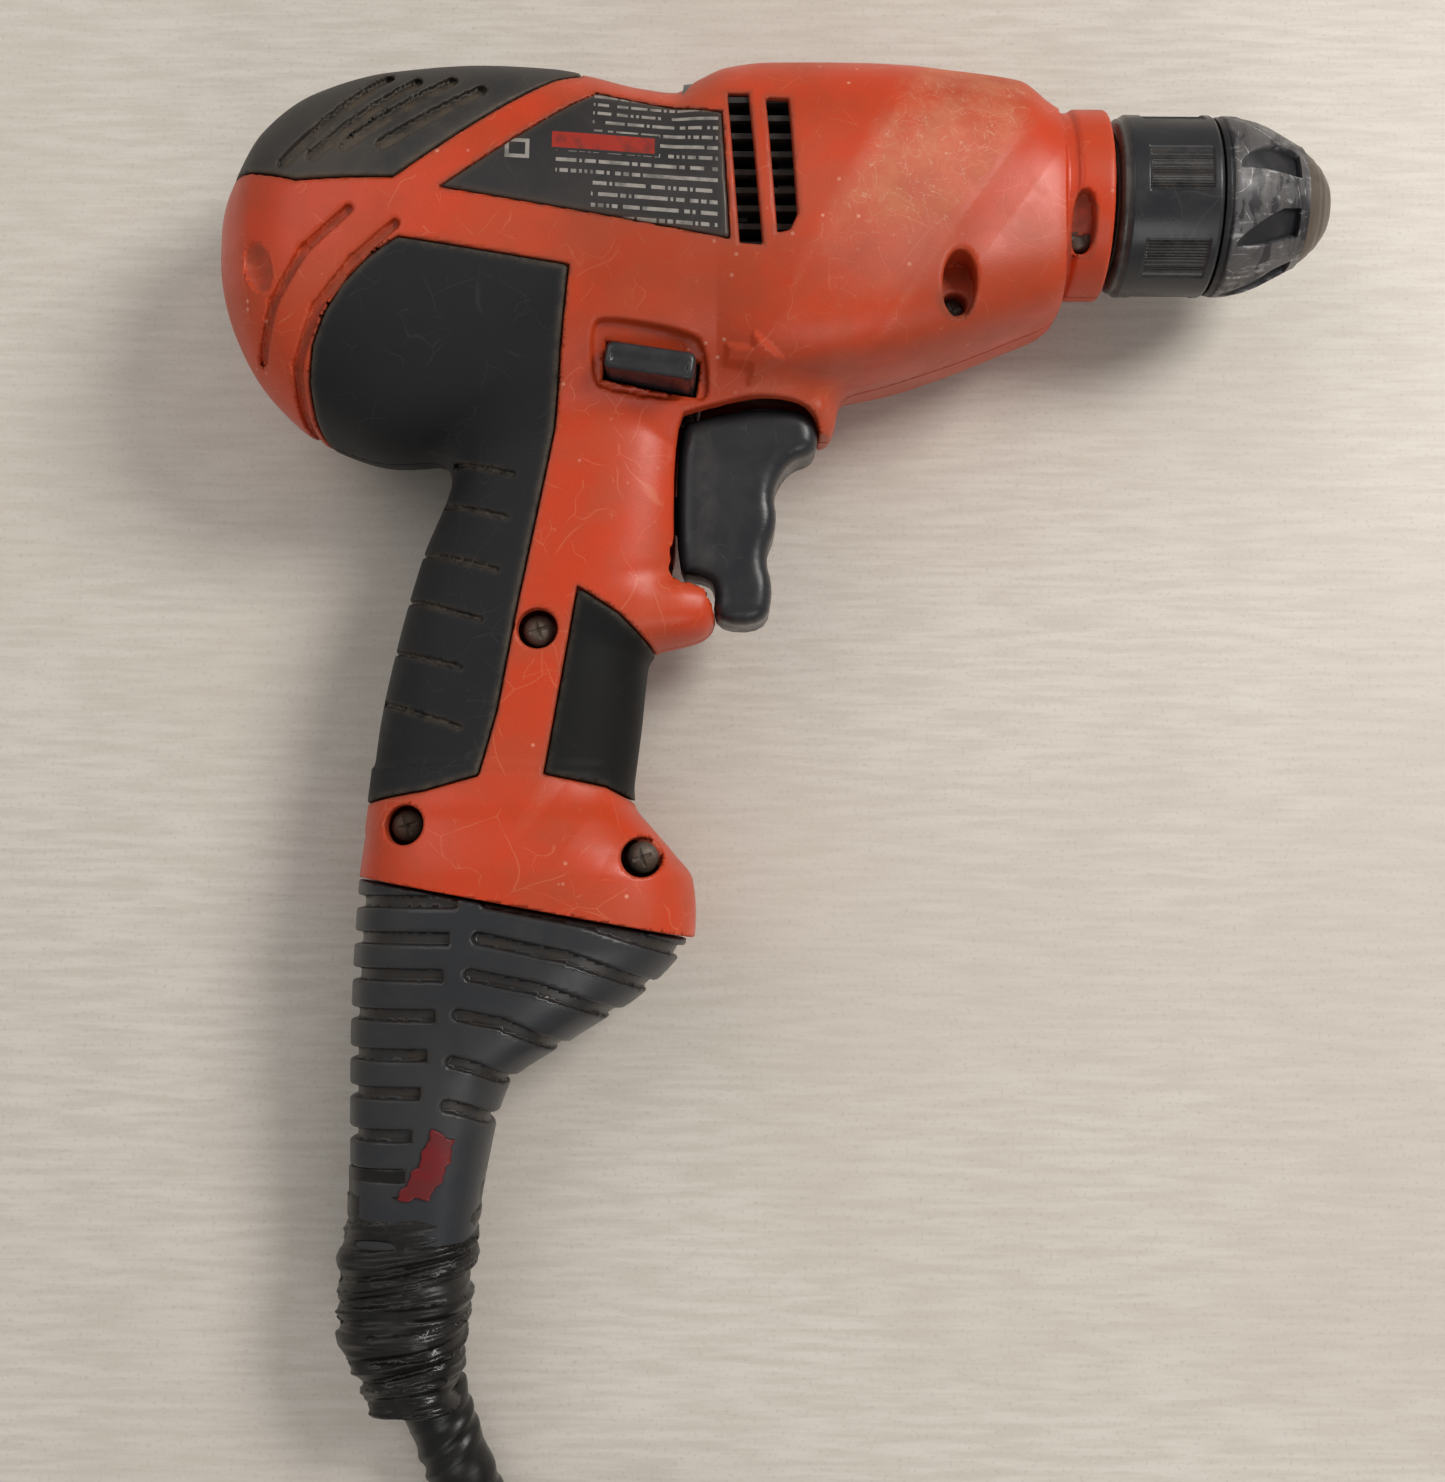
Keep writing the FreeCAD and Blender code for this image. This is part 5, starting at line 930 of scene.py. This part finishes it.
def copiesTree(name, wanted, shape, finish):
    # copies of one small shape on the source's points, turned alike
    tree, start, end = newGeometryTree(name, wanted + [("Tip", "NodeSocketFloat", tipAngle)])
    body = shape(tree, start)
    turn = addNode(tree, "ShaderNodeCombineXYZ", inputs={"X": start.outputs["Tip"]})
    spots = addNode(tree, "GeometryNodeMeshToPoints", inputs={"Mesh": start.outputs["Geometry"]})
    copies = addNode(tree, "GeometryNodeInstanceOnPoints", inputs={"Points": spots.outputs[0], "Instance": body})
    face = addNode(tree, "FunctionNodeEulerToRotation", inputs={"Euler": turn.outputs[0]})
    tree.links.new(face.outputs[0], copies.inputs["Rotation"])
    real = addNode(tree, "GeometryNodeRealizeInstances", inputs={"Geometry": copies.outputs[0]})
    dress = addNode(tree, "GeometryNodeSetMaterial", inputs={"Geometry": real.outputs[0], "Material": finish})
    tree.links.new(dress.outputs[0], end.inputs[0])
    return tree


screwPlan = {"headRadius": 3.7, "headHeight": 2.4, "crossWidth": 0.95, "crossLength": 4.4}
zincFinish = simpleFinish("zinc screws", srgb(120, 112, 104), srgb(92, 74, 60), (0.45, 0.75), metal=0.7, dusty=0.9)


def screwShape(tree, start):
    dome = addNode(tree, "GeometryNodeMeshUVSphere", inputs={"Segments": 36, "Rings": 18,
                                                            "Radius": start.outputs["Head Radius"]})
    flat = addNode(tree, "GeometryNodeTransform", inputs={"Geometry": dome.outputs[0], "Scale": (1, 1, 0.62)})
    cutters = []
    for size in ((1, 5, 4), (5, 1, 4)):
        bar = addNode(tree, "GeometryNodeMeshCube", inputs={"Size": tuple(v * 0.001 for v in
                      (0.95 if size[0] == 1 else 4.6, 0.95 if size[1] == 1 else 4.6, 2.6))})
        lift = addNode(tree, "GeometryNodeTransform", inputs={"Geometry": bar.outputs[0],
                       "Translation": (0, 0, 0.0028), "Rotation": (0, 0, 0.35)})
        cutters.append(lift.outputs[0])
    cut = addNode(tree, "GeometryNodeMeshBoolean", operation="DIFFERENCE")
    tree.links.new(flat.outputs[0], cut.inputs[0])
    for cutter in cutters:
        tree.links.new(cutter, cut.inputs[1])
    return cut.outputs[0]


screwTree = copiesTree("screwHeads", [("Head Radius", "NodeSocketFloat", 0.0037)], screwShape, zincFinish)
screwSpots = toWorld([(sx, sy, 13.6) for sx, sy in screwPlaces] + [(-7.3, -11.6, 11.9)])
screws = bakeTree("screw_heads", screwTree, screwSpots, {"Head Radius": screwPlan["headRadius"] / 1000})
print("screws done")

# dark finish for the vent shelves, and painted shade on the sheet behind them
shelfFinish = simpleFinish("dark inner plastic and painted shade", srgb(30, 28, 27), srgb(70, 58, 48), (0.5, 0.7), dusty=0.6)


def shelfShape(tree, start):
    bar = addNode(tree, "GeometryNodeMeshCube", inputs={"Size": start.outputs["Shelf Size"]})
    return bar.outputs[0]


shelfTree = copiesTree("ventShelves", [("Shelf Size", "NodeSocketVector", (0.018, 0.0012, 0.012))], shelfShape, shelfFinish)
shelfSpots = toWorld([(-81.9, 14.5 - 4.2 * i, 23.5) for i in range(9)])
shelves = bakeTree("vent_shelves", shelfTree, shelfSpots, {"Shelf Size": (0.0175, 0.0013, 0.008)})
# a dark sheet behind the vent slots: painted shade for the dark inside of the housing
shadeBacking = pieceFromArrays("vent_shade_backing", [(-93, -24, 17), (-71, -24, 17), (-71, 20, 17), (-93, 20, 17),
                                           (-93, -24, 16), (-71, -24, 16), (-71, 20, 16), (-93, 20, 16)],
                          [(0, 1, 2, 3), (7, 6, 5, 4), (0, 4, 5, 1), (1, 5, 6, 2), (2, 6, 7, 3), (3, 7, 4, 0)])


# ---- finishes
def orangeFinish():
    dustTone = srgb(214, 150, 118)
    mat, tree, shader, shade, effect, bump = plainFinish(
        "orange housing", srgb(206, 64, 26), srgb(180, 72, 38), (0.36, 0.52),
        {"dusty": 0.7, "blotch": 38.0, "scratch": 0.34, "scratchColour": srgb(224, 134, 96), "bump": 0.12, "speck": 0.22})
    grimeAndShade = addNode(tree, "ShaderNodeAttribute", attribute_name="grimeAndShade").outputs["Fac"]
    worn = addNode(tree, "ShaderNodeAttribute", attribute_name="worn").outputs["Fac"]
    coords = addNode(tree, "ShaderNodeTexCoord").outputs["Object"]
    rubbed = addNode(tree, "ShaderNodeTexNoise", inputs={"Vector": coords, "Scale": 90.0, "Detail": 8.0, "Roughness": 0.7})
    pale = sums(tree, "MULTIPLY", worn, spread(tree, rubbed.outputs[0], 0.38, 0.66, 0.25, 0.95))
    shade = mixColour(tree, sums(tree, "MULTIPLY", pale, 0.66), shade, srgb(206, 134, 100))
    curls = addNode(tree, "ShaderNodeTexNoise", inputs={"Vector": coords, "Scale": 150.0, "Detail": 3.0, "Distortion": 1.6})
    curl = sums(tree, "SUBTRACT", 1.0, spread(tree, sums(tree, "ABSOLUTE", sums(tree, "SUBTRACT", curls.outputs[0], 0.5)), 0.0, 0.012))
    shade = mixColour(tree, sums(tree, "MULTIPLY", sums(tree, "MULTIPLY", curl, worn), 0.35), shade, srgb(226, 190, 166))
    specks = addNode(tree, "ShaderNodeTexVoronoi", inputs={"Vector": coords, "Scale": 210.0, "Randomness": 1.0})
    speck = spread(tree, specks.outputs["Distance"], 0.05, 0.13, 1.0, 0.0)
    few = addNode(tree, "ShaderNodeTexNoise", inputs={"Vector": coords, "Scale": 40.0})
    speck = sums(tree, "MULTIPLY", speck, spread(tree, few.outputs[0], 0.5, 0.62))
    shade = mixColour(tree, sums(tree, "MULTIPLY", speck, 0.55), shade, srgb(238, 176, 148))
    # darker brown where the mask is set: dirt along seams and borders, painted shade in the recesses
    dirtAndShadeNoise = addNode(tree, "ShaderNodeTexNoise", inputs={"Vector": coords, "Scale": 260.0, "Detail": 5.0})
    dirtAndShadeShare = sums(tree, "MULTIPLY", grimeAndShade, spread(tree, dirtAndShadeNoise.outputs[0], 0.32, 0.62, 0.35, 0.95), True)
    shade = mixColour(tree, sums(tree, "MULTIPLY", dirtAndShadeShare, 0.85), shade, srgb(122, 66, 46))
    smudge = addNode(tree, "ShaderNodeTexNoise", inputs={"Vector": coords, "Scale": 16.0, "Detail": 4.0, "Roughness": 0.6})
    shade = mixColour(tree, spread(tree, smudge.outputs[0], 0.46, 0.68, 0.0, 0.5), shade, srgb(142, 58, 30))
    tree.links.new(shade, shader.inputs["Base Color"])
    rough = sums(tree, "ADD", spread(tree, effect.outputs["Blotch"], 0.0, 1.0, 0.34, 0.46),
                 sums(tree, "MULTIPLY", sums(tree, "MAXIMUM", pale, dirtAndShadeShare), 0.28))
    tree.links.new(rough, shader.inputs["Roughness"])
    return mat


def rubberFinish(name, colour, dust, rough, grimeTone, share=0.9, **look):
    mat, tree, shader, shade, effect, bump = plainFinish(name, colour, dust, rough, look)
    grimeAndShade = addNode(tree, "ShaderNodeAttribute", attribute_name="grimeAndShade").outputs["Fac"]
    coords = addNode(tree, "ShaderNodeTexCoord").outputs["Object"]
    dirtAndShadeNoise = addNode(tree, "ShaderNodeTexNoise", inputs={"Vector": coords, "Scale": 240.0, "Detail": 6.0, "Roughness": 0.65})
    dirtAndShadeShare = sums(tree, "MULTIPLY", grimeAndShade, spread(tree, dirtAndShadeNoise.outputs[0], 0.34, 0.62, 0.25, 1.0), True)
    shade = mixColour(tree, sums(tree, "MULTIPLY", dirtAndShadeShare, share), shade, grimeTone)
    tree.links.new(shade, shader.inputs["Base Color"])
    return mat


def panelFinish():
    # dark panel with rows of plain pale dashes where printing would be, and one plain red bar
    mat, tree, shader, shade, effect, bump = plainFinish(
        "dark panel", srgb(42, 40, 41), srgb(68, 60, 55), (0.38, 0.5), {"dusty": 0.25, "bump": 0.05})
    coords = addNode(tree, "ShaderNodeTexCoord").outputs["Object"]
    split = addNode(tree, "ShaderNodeSeparateXYZ", inputs={"Vector": coords})
    across = sums(tree, "SUBTRACT", sums(tree, "MULTIPLY", split.outputs[0], 1000.0), float(drillShift[0]))
    upward = sums(tree, "SUBTRACT", sums(tree, "MULTIPLY", split.outputs[1], 1000.0), float(drillShift[1]) - 2.0)
    down = sums(tree, "ADD", upward, sums(tree, "MULTIPLY", across, 0.055))
    rows = sums(tree, "FRACT", sums(tree, "DIVIDE", down, 2.55))
    row = sums(tree, "LESS_THAN", sums(tree, "ABSOLUTE", sums(tree, "SUBTRACT", rows, 0.5)), 0.17)
    rowNumber = sums(tree, "FLOOR", sums(tree, "DIVIDE", down, 2.55))
    cellPlace = addNode(tree, "ShaderNodeCombineXYZ", inputs={"X": sums(tree, "FLOOR", sums(tree, "DIVIDE", across, 0.62)),
                                                             "Y": rowNumber})
    chance = addNode(tree, "ShaderNodeTexWhiteNoise", noise_dimensions="2D", inputs={"Vector": cellPlace.outputs[0]})
    dash = sums(tree, "MULTIPLY", row, sums(tree, "GREATER_THAN", chance.outputs["Value"], 0.26))

    def boxShare(x0, x1, y0, y1):
        inX = sums(tree, "LESS_THAN", sums(tree, "ABSOLUTE", sums(tree, "SUBTRACT", across, (x0 + x1) / 2)), (x1 - x0) / 2)
        inY = sums(tree, "LESS_THAN", sums(tree, "ABSOLUTE", sums(tree, "SUBTRACT", down, (y0 + y1) / 2)), (y1 - y0) / 2)
        return sums(tree, "MULTIPLY", inX, inY)

    printed = sums(tree, "MAXIMUM", boxShare(-128, -104, -13.3, -6.3), boxShare(-120, -91.8, -24, 13))
    dash = sums(tree, "MULTIPLY", dash, printed)
    bar = boxShare(-129, -106, -6.0, -2.0)
    frameMark = sums(tree, "SUBTRACT", boxShare(-139.5, -134, -9.1, -4.3), boxShare(-138.6, -134.9, -8.2, -5.2))
    dash = sums(tree, "MULTIPLY", dash, sums(tree, "SUBTRACT", 1.0, boxShare(-130, -105, -6.7, -1.3)))
    dash = sums(tree, "MAXIMUM", dash, frameMark)
    fade = addNode(tree, "ShaderNodeTexNoise", inputs={"Vector": coords, "Scale": 300.0, "Detail": 3.0})
    dash = sums(tree, "MULTIPLY", dash, spread(tree, fade.outputs[0], 0.3, 0.6, 0.35, 0.85))
    shade = mixColour(tree, dash, shade, srgb(164, 158, 152))
    shade = mixColour(tree, sums(tree, "MULTIPLY", sums(tree, "MULTIPLY", bar, spread(tree, fade.outputs[0], 0.3, 0.55, 0.5, 1.0)), 0.85), shade, srgb(170, 44, 28))
    grimeAndShade = addNode(tree, "ShaderNodeAttribute", attribute_name="grimeAndShade").outputs["Fac"]
    shade = mixColour(tree, sums(tree, "MULTIPLY", grimeAndShade, 0.3), shade, srgb(110, 84, 66))
    tree.links.new(shade, shader.inputs["Base Color"])
    return mat


def sleeveFinish():
    # rubbed metallised sleeve: streaks run round the axis, dark plastic shows in the wedges
    mat, tree, shader, shade, effect, bump = plainFinish(
        "worn sleeve", srgb(104, 103, 106), srgb(66, 64, 66), (0.32, 0.5),
        {"dusty": 0.8, "blotch": 90.0, "scratch": 0.9, "scratchColour": srgb(214, 212, 208), "bump": 0.12, "metal": 0.25})
    coords = addNode(tree, "ShaderNodeTexCoord").outputs["Object"]
    streaks = addNode(tree, "ShaderNodeMapping", inputs={"Vector": coords, "Scale": (1500.0, 60.0, 60.0)})
    streak = addNode(tree, "ShaderNodeTexNoise", inputs={"Vector": streaks.outputs[0], "Scale": 1.0, "Detail": 4.0, "Roughness": 0.7})
    shade = mixColour(tree, spread(tree, streak.outputs[0], 0.42, 0.62, 0.0, 0.75), shade, srgb(96, 92, 90))
    patches = addNode(tree, "ShaderNodeMapping", inputs={"Vector": coords, "Scale": (260.0, 95.0, 95.0)})
    patch = addNode(tree, "ShaderNodeTexNoise", inputs={"Vector": patches.outputs[0], "Scale": 1.0, "Detail": 3.0})
    shade = mixColour(tree, spread(tree, patch.outputs[0], 0.52, 0.58, 0.0, 0.85), shade, srgb(44, 43, 47))
    rubbed = addNode(tree, "ShaderNodeMapping", inputs={"Vector": coords, "Scale": (95.0, 420.0, 420.0)})
    rub = addNode(tree, "ShaderNodeTexNoise", inputs={"Vector": rubbed.outputs[0], "Scale": 1.0, "Detail": 6.0, "Roughness": 0.75})
    shade = mixColour(tree, spread(tree, rub.outputs[0], 0.55, 0.66, 0.0, 0.8), shade, srgb(158, 157, 158))
    wedge = addNode(tree, "ShaderNodeAttribute", attribute_name="wedge").outputs["Fac"]
    shade = mixColour(tree, sums(tree, "MULTIPLY", wedge, 0.96), shade, srgb(38, 38, 42))
    tree.links.new(shade, shader.inputs["Base Color"])
    return mat


rubberTone = srgb(28, 29, 32)
finishes = {
    "orange": orangeFinish(),
    "softGrip": rubberFinish("soft grip rubber", rubberTone, srgb(40, 39, 39), (0.52, 0.66), srgb(104, 92, 78), 0.5,
                             dusty=0.35, blotch=24.0, scratch=0.16, scratchColour=srgb(84, 80, 76), bump=0.16, grain=3200.0, shine=0.25),
    # front grip: the same rubber as the rear grip in a darker copy, painted shade
    "frontGripShaded": rubberFinish("front grip rubber with painted shade", srgb(18, 18, 19), srgb(30, 29, 28), (0.5, 0.62), srgb(84, 74, 62), 0.45,
                              dusty=0.4, blotch=30.0, scratch=0.12, scratchColour=srgb(70, 64, 58), bump=0.12, shine=0.15),
    "topGrip": rubberFinish("dusty top rubber", srgb(44, 43, 43), srgb(82, 74, 67), (0.52, 0.68), srgb(98, 84, 68), 0.6,
                            dusty=0.7, blotch=34.0, scratch=0.12, scratchColour=srgb(120, 110, 98), bump=0.2),
    "boot": rubberFinish("boot rubber", srgb(44, 46, 50), srgb(62, 61, 60), (0.3, 0.42), srgb(58, 48, 38), 0.75,
                         dusty=0.4, blotch=40.0, scratch=0.06, scratchColour=srgb(90, 84, 78), bump=0.14),
    "blackPlastic": rubberFinish("black moulded plastic", srgb(38, 39, 43), srgb(50, 50, 52), (0.26, 0.4),
                                 srgb(96, 90, 84), 0.6, dusty=0.3, blotch=60.0, scratch=0.1,
                                 scratchColour=srgb(124, 120, 116), bump=0.10),
    "tape": rubberFinish("black tape", srgb(11, 11, 12), srgb(24, 22, 21), (0.24, 0.4), srgb(52, 46, 40), 0.35,
                         dusty=0.45, blotch=60.0, scratch=0.12, scratchColour=srgb(80, 76, 70), bump=0.2),
    "redTape": rubberFinish("red tape", srgb(118, 20, 26), srgb(84, 24, 26), (0.3, 0.45), srgb(70, 38, 34), 0.6,
                            dusty=0.6, blotch=120.0, scratch=0.2),
    "panel": panelFinish(),
    "sleeve": sleeveFinish(),
    "zinc": zincFinish,
    "inner": shelfFinish,
    "lead": simpleFinish("lead jacket", srgb(16, 16, 17), srgb(28, 26, 25), (0.42, 0.55), dusty=0.4, blotch=80.0),
    "noseMetal": simpleFinish("worn nose steel", srgb(116, 106, 96), srgb(84, 74, 64), (0.38, 0.55), metal=0.6, dusty=0.7,
                              blotch=60.0),
    "steel": simpleFinish("machined steel", srgb(150, 150, 150), srgb(110, 108, 104), (0.25, 0.4), metal=0.95),
    "blued": simpleFinish("blued steel", srgb(60, 60, 66), srgb(84, 82, 80), (0.28, 0.4), metal=0.9),
    "lamination": simpleFinish("lamination steel", srgb(104, 104, 108), srgb(76, 70, 66), (0.35, 0.5), metal=0.85),
    "copper": simpleFinish("enamelled copper", srgb(170, 88, 44), srgb(120, 58, 30), (0.25, 0.4), metal=0.8),
    "carbon": simpleFinish("carbon", srgb(34, 34, 36), srgb(52, 52, 54), (0.6, 0.8)),
    "brass": simpleFinish("brass", srgb(186, 150, 78), srgb(130, 104, 58), (0.25, 0.4), metal=0.95),
    "castCase": simpleFinish("cast case", srgb(136, 138, 140), srgb(100, 100, 100), (0.4, 0.6), metal=0.8, grainDeep=1.0),
    "bronze": simpleFinish("bronze bush", srgb(160, 120, 70), srgb(110, 84, 54), (0.4, 0.6), metal=0.9),
    "greyPlastic": simpleFinish("grey plastic", srgb(84, 86, 90), srgb(110, 106, 100), (0.4, 0.55)),
    "nickel": simpleFinish("nickel blade", srgb(190, 188, 180), srgb(150, 146, 138), (0.2, 0.35), metal=1.0),
}


def dress(piece, finish):
    piece.data.materials.clear()
    piece.data.materials.append(finishes[finish])


slotFinish = {
    "orange_housing": "orange", "black_overmould": "softGrip", "black_plastic": "blackPlastic", "boot_rubber": "boot",
    "label_foil": "panel", "sleeve_plastic": "blackPlastic", "worn_metallised": "sleeve", "blued_steel": "blued",
    "steel": "steel", "zinc_screw": "zinc", "lamination": "lamination", "copper_winding": "copper",
    "commutator_copper": "copper", "carbon": "carbon", "brass_part": "brass", "cast_case": "castCase",
    "bronze_bush": "bronze", "grey_plastic": "greyPlastic", "red_tape": "redTape", "black_tape": "tape",
    "cord_jacket": "lead", "nickel_blade": "nickel",
}
for part in frame["record"]["subparts"]:
    node = frame["nodes"].get(part["node"])
    if node:
        dress(node, slotFinish.get(part["material_slot"], "greyPlastic"))

plan = [
    (shells[0], "drill", ["housing_right"], "orange", "orange_housing"),
    (shells[1], "drill", ["housing_left"], "orange", "orange_housing"),
    (pads["rearPad", 1], "drill", ["rear_grip_right"], "softGrip", "black_overmould"),
    (pads["rearPad", -1], "drill", ["rear_grip_left"], "softGrip", "black_overmould"),
    (pads["frontPad", 1], "drill", ["front_grip_right"], "frontGripShaded", "black_overmould"),
    (pads["frontPad", -1], "drill", ["front_grip_left"], "frontGripShaded", "black_overmould"),
    (pads["topPad", 1], "drill", ["top_pad_right"], "topGrip", "black_overmould"),
    (pads["topPad", -1], "drill", ["top_pad_left"], "topGrip", "black_overmould"),
    (pads["label", 1], "drill", ["rating_label"], "panel", "label_foil"),
    (triggerPiece, "trigger", ["trigger"], "blackPlastic", "black_plastic"),
    (leverPiece, "reverse_bar", ["reverse_bar"], "blackPlastic", "black_plastic"),
    (bootPiece, "drill", ["cord_boot"], "boot", "boot_rubber"),
    (knotPiece, "drill", ["tape_knot"], "tape", "black_tape"),
    (patchPiece, "drill", ["red_tape_patch"], "redTape", "red_tape"),
    (sleevePiece, "drill", ["cord_tape_sleeve"], "tape", "black_tape"),
    (lead, "drill", ["supply_cord", "cord_coil", "cord_tail"], "lead", "cord_jacket"),
    (rearSleeve, "chuck_sleeve", ["chuck_rear_sleeve"], "blackPlastic", "sleeve_plastic"),
    (frontSleeve, "chuck_sleeve", ["chuck_front_sleeve"], "sleeve", "worn_metallised"),
    (nosePiece, "spindle", ["chuck_body"], "noseMetal", "blued_steel"),
    (screws, "drill", ["housing_screws"], "zinc", "zinc_screw"),
    (shelves, "drill", [], "inner", "grey_plastic"),
    (shadeBacking, "drill", [], "inner", "grey_plastic"),
]
for piece, body, nodes, finish, slotName in plan:
    dress(piece, finish)
    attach(piece, body)
    present = [n for n in nodes if n in frame["nodes"]]
    if present:
        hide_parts(*present)
print("pieces dressed")


# ---- floor and light
def floorFinish():
    mat = bpy.data.materials.new("pale floor")
    mat.use_nodes = True
    tree = mat.node_tree
    shader = tree.nodes["Principled BSDF"]
    coords = addNode(tree, "ShaderNodeTexCoord").outputs["Object"]
    streaks = addNode(tree, "ShaderNodeMapping", inputs={"Vector": coords, "Scale": (46.0, 460.0, 1.0)})
    streak = addNode(tree, "ShaderNodeTexNoise", inputs={"Vector": streaks.outputs[0], "Scale": 1.0, "Detail": 5.0, "Roughness": 0.6})
    cloud = addNode(tree, "ShaderNodeTexNoise", inputs={"Vector": coords, "Scale": 9.0, "Detail": 4.0})
    fine = addNode(tree, "ShaderNodeTexNoise", inputs={"Vector": coords, "Scale": 900.0, "Detail": 2.0})
    shade = mixColour(tree, spread(tree, streak.outputs[0], 0.35, 0.65), srgb(208, 200, 190), srgb(220, 213, 204))
    shade = mixColour(tree, spread(tree, cloud.outputs[0], 0.4, 0.65, 0.0, 0.45), shade, srgb(203, 194, 183))
    shade = mixColour(tree, spread(tree, fine.outputs[0], 0.55, 0.72, 0.0, 0.3), shade, srgb(178, 169, 159))
    tree.links.new(shade, shader.inputs["Base Color"])
    shader.inputs["Roughness"].default_value = 0.45
    bump = addNode(tree, "ShaderNodeBump", inputs={"Height": streak.outputs[0], "Strength": 0.05, "Distance": 0.001})
    tree.links.new(bump.outputs[0], shader.inputs["Normal"])
    return mat


floorMesh = bpy.data.meshes.new("floor")
floorMesh.from_pydata([(-3, -3, 0), (3, -3, 0), (3, 3, 0), (-3, 3, 0)], [], [(0, 1, 2, 3)])
floor = bpy.data.objects.new("floor", floorMesh)
bpy.context.scene.collection.objects.link(floor)
floorMesh.materials.append(floorFinish())

lamps = [
    ("key", (0.75, 0.45, 0.95), (0.0, 0.0, 0.0), 0.45, 9.6, (1.0, 0.97, 0.92)),
    ("fill", (-0.7, 0.5, 1.0), (0.0, 0.0, 0.0), 0.9, 2.6, (1.0, 0.99, 0.97)),
    ("low", (0.35, -0.9, 0.8), (0.0, -0.05, 0.0), 0.6, 2.2, (1.0, 0.99, 0.97)),
]
for name, place, target, size, power, tint in lamps:
    data = bpy.data.lights.new(name, "AREA")
    data.shape = "DISK"
    data.size = size
    data.energy = power
    data.color = tint
    lamp = bpy.data.objects.new(name, data)
    lamp.location = place
    lamp.rotation_euler = (Vector(target) - Vector(place)).to_track_quat("-Z", "Y").to_euler()
    bpy.context.scene.collection.objects.link(lamp)
world = bpy.data.worlds.new("room")
world.use_nodes = True
world.node_tree.nodes["Background"].inputs[0].default_value = (1.0, 0.98, 0.95, 1)
world.node_tree.nodes["Background"].inputs[1].default_value = 0.33
bpy.context.scene.world = world
bpy.context.scene.view_settings.view_transform = "Standard"
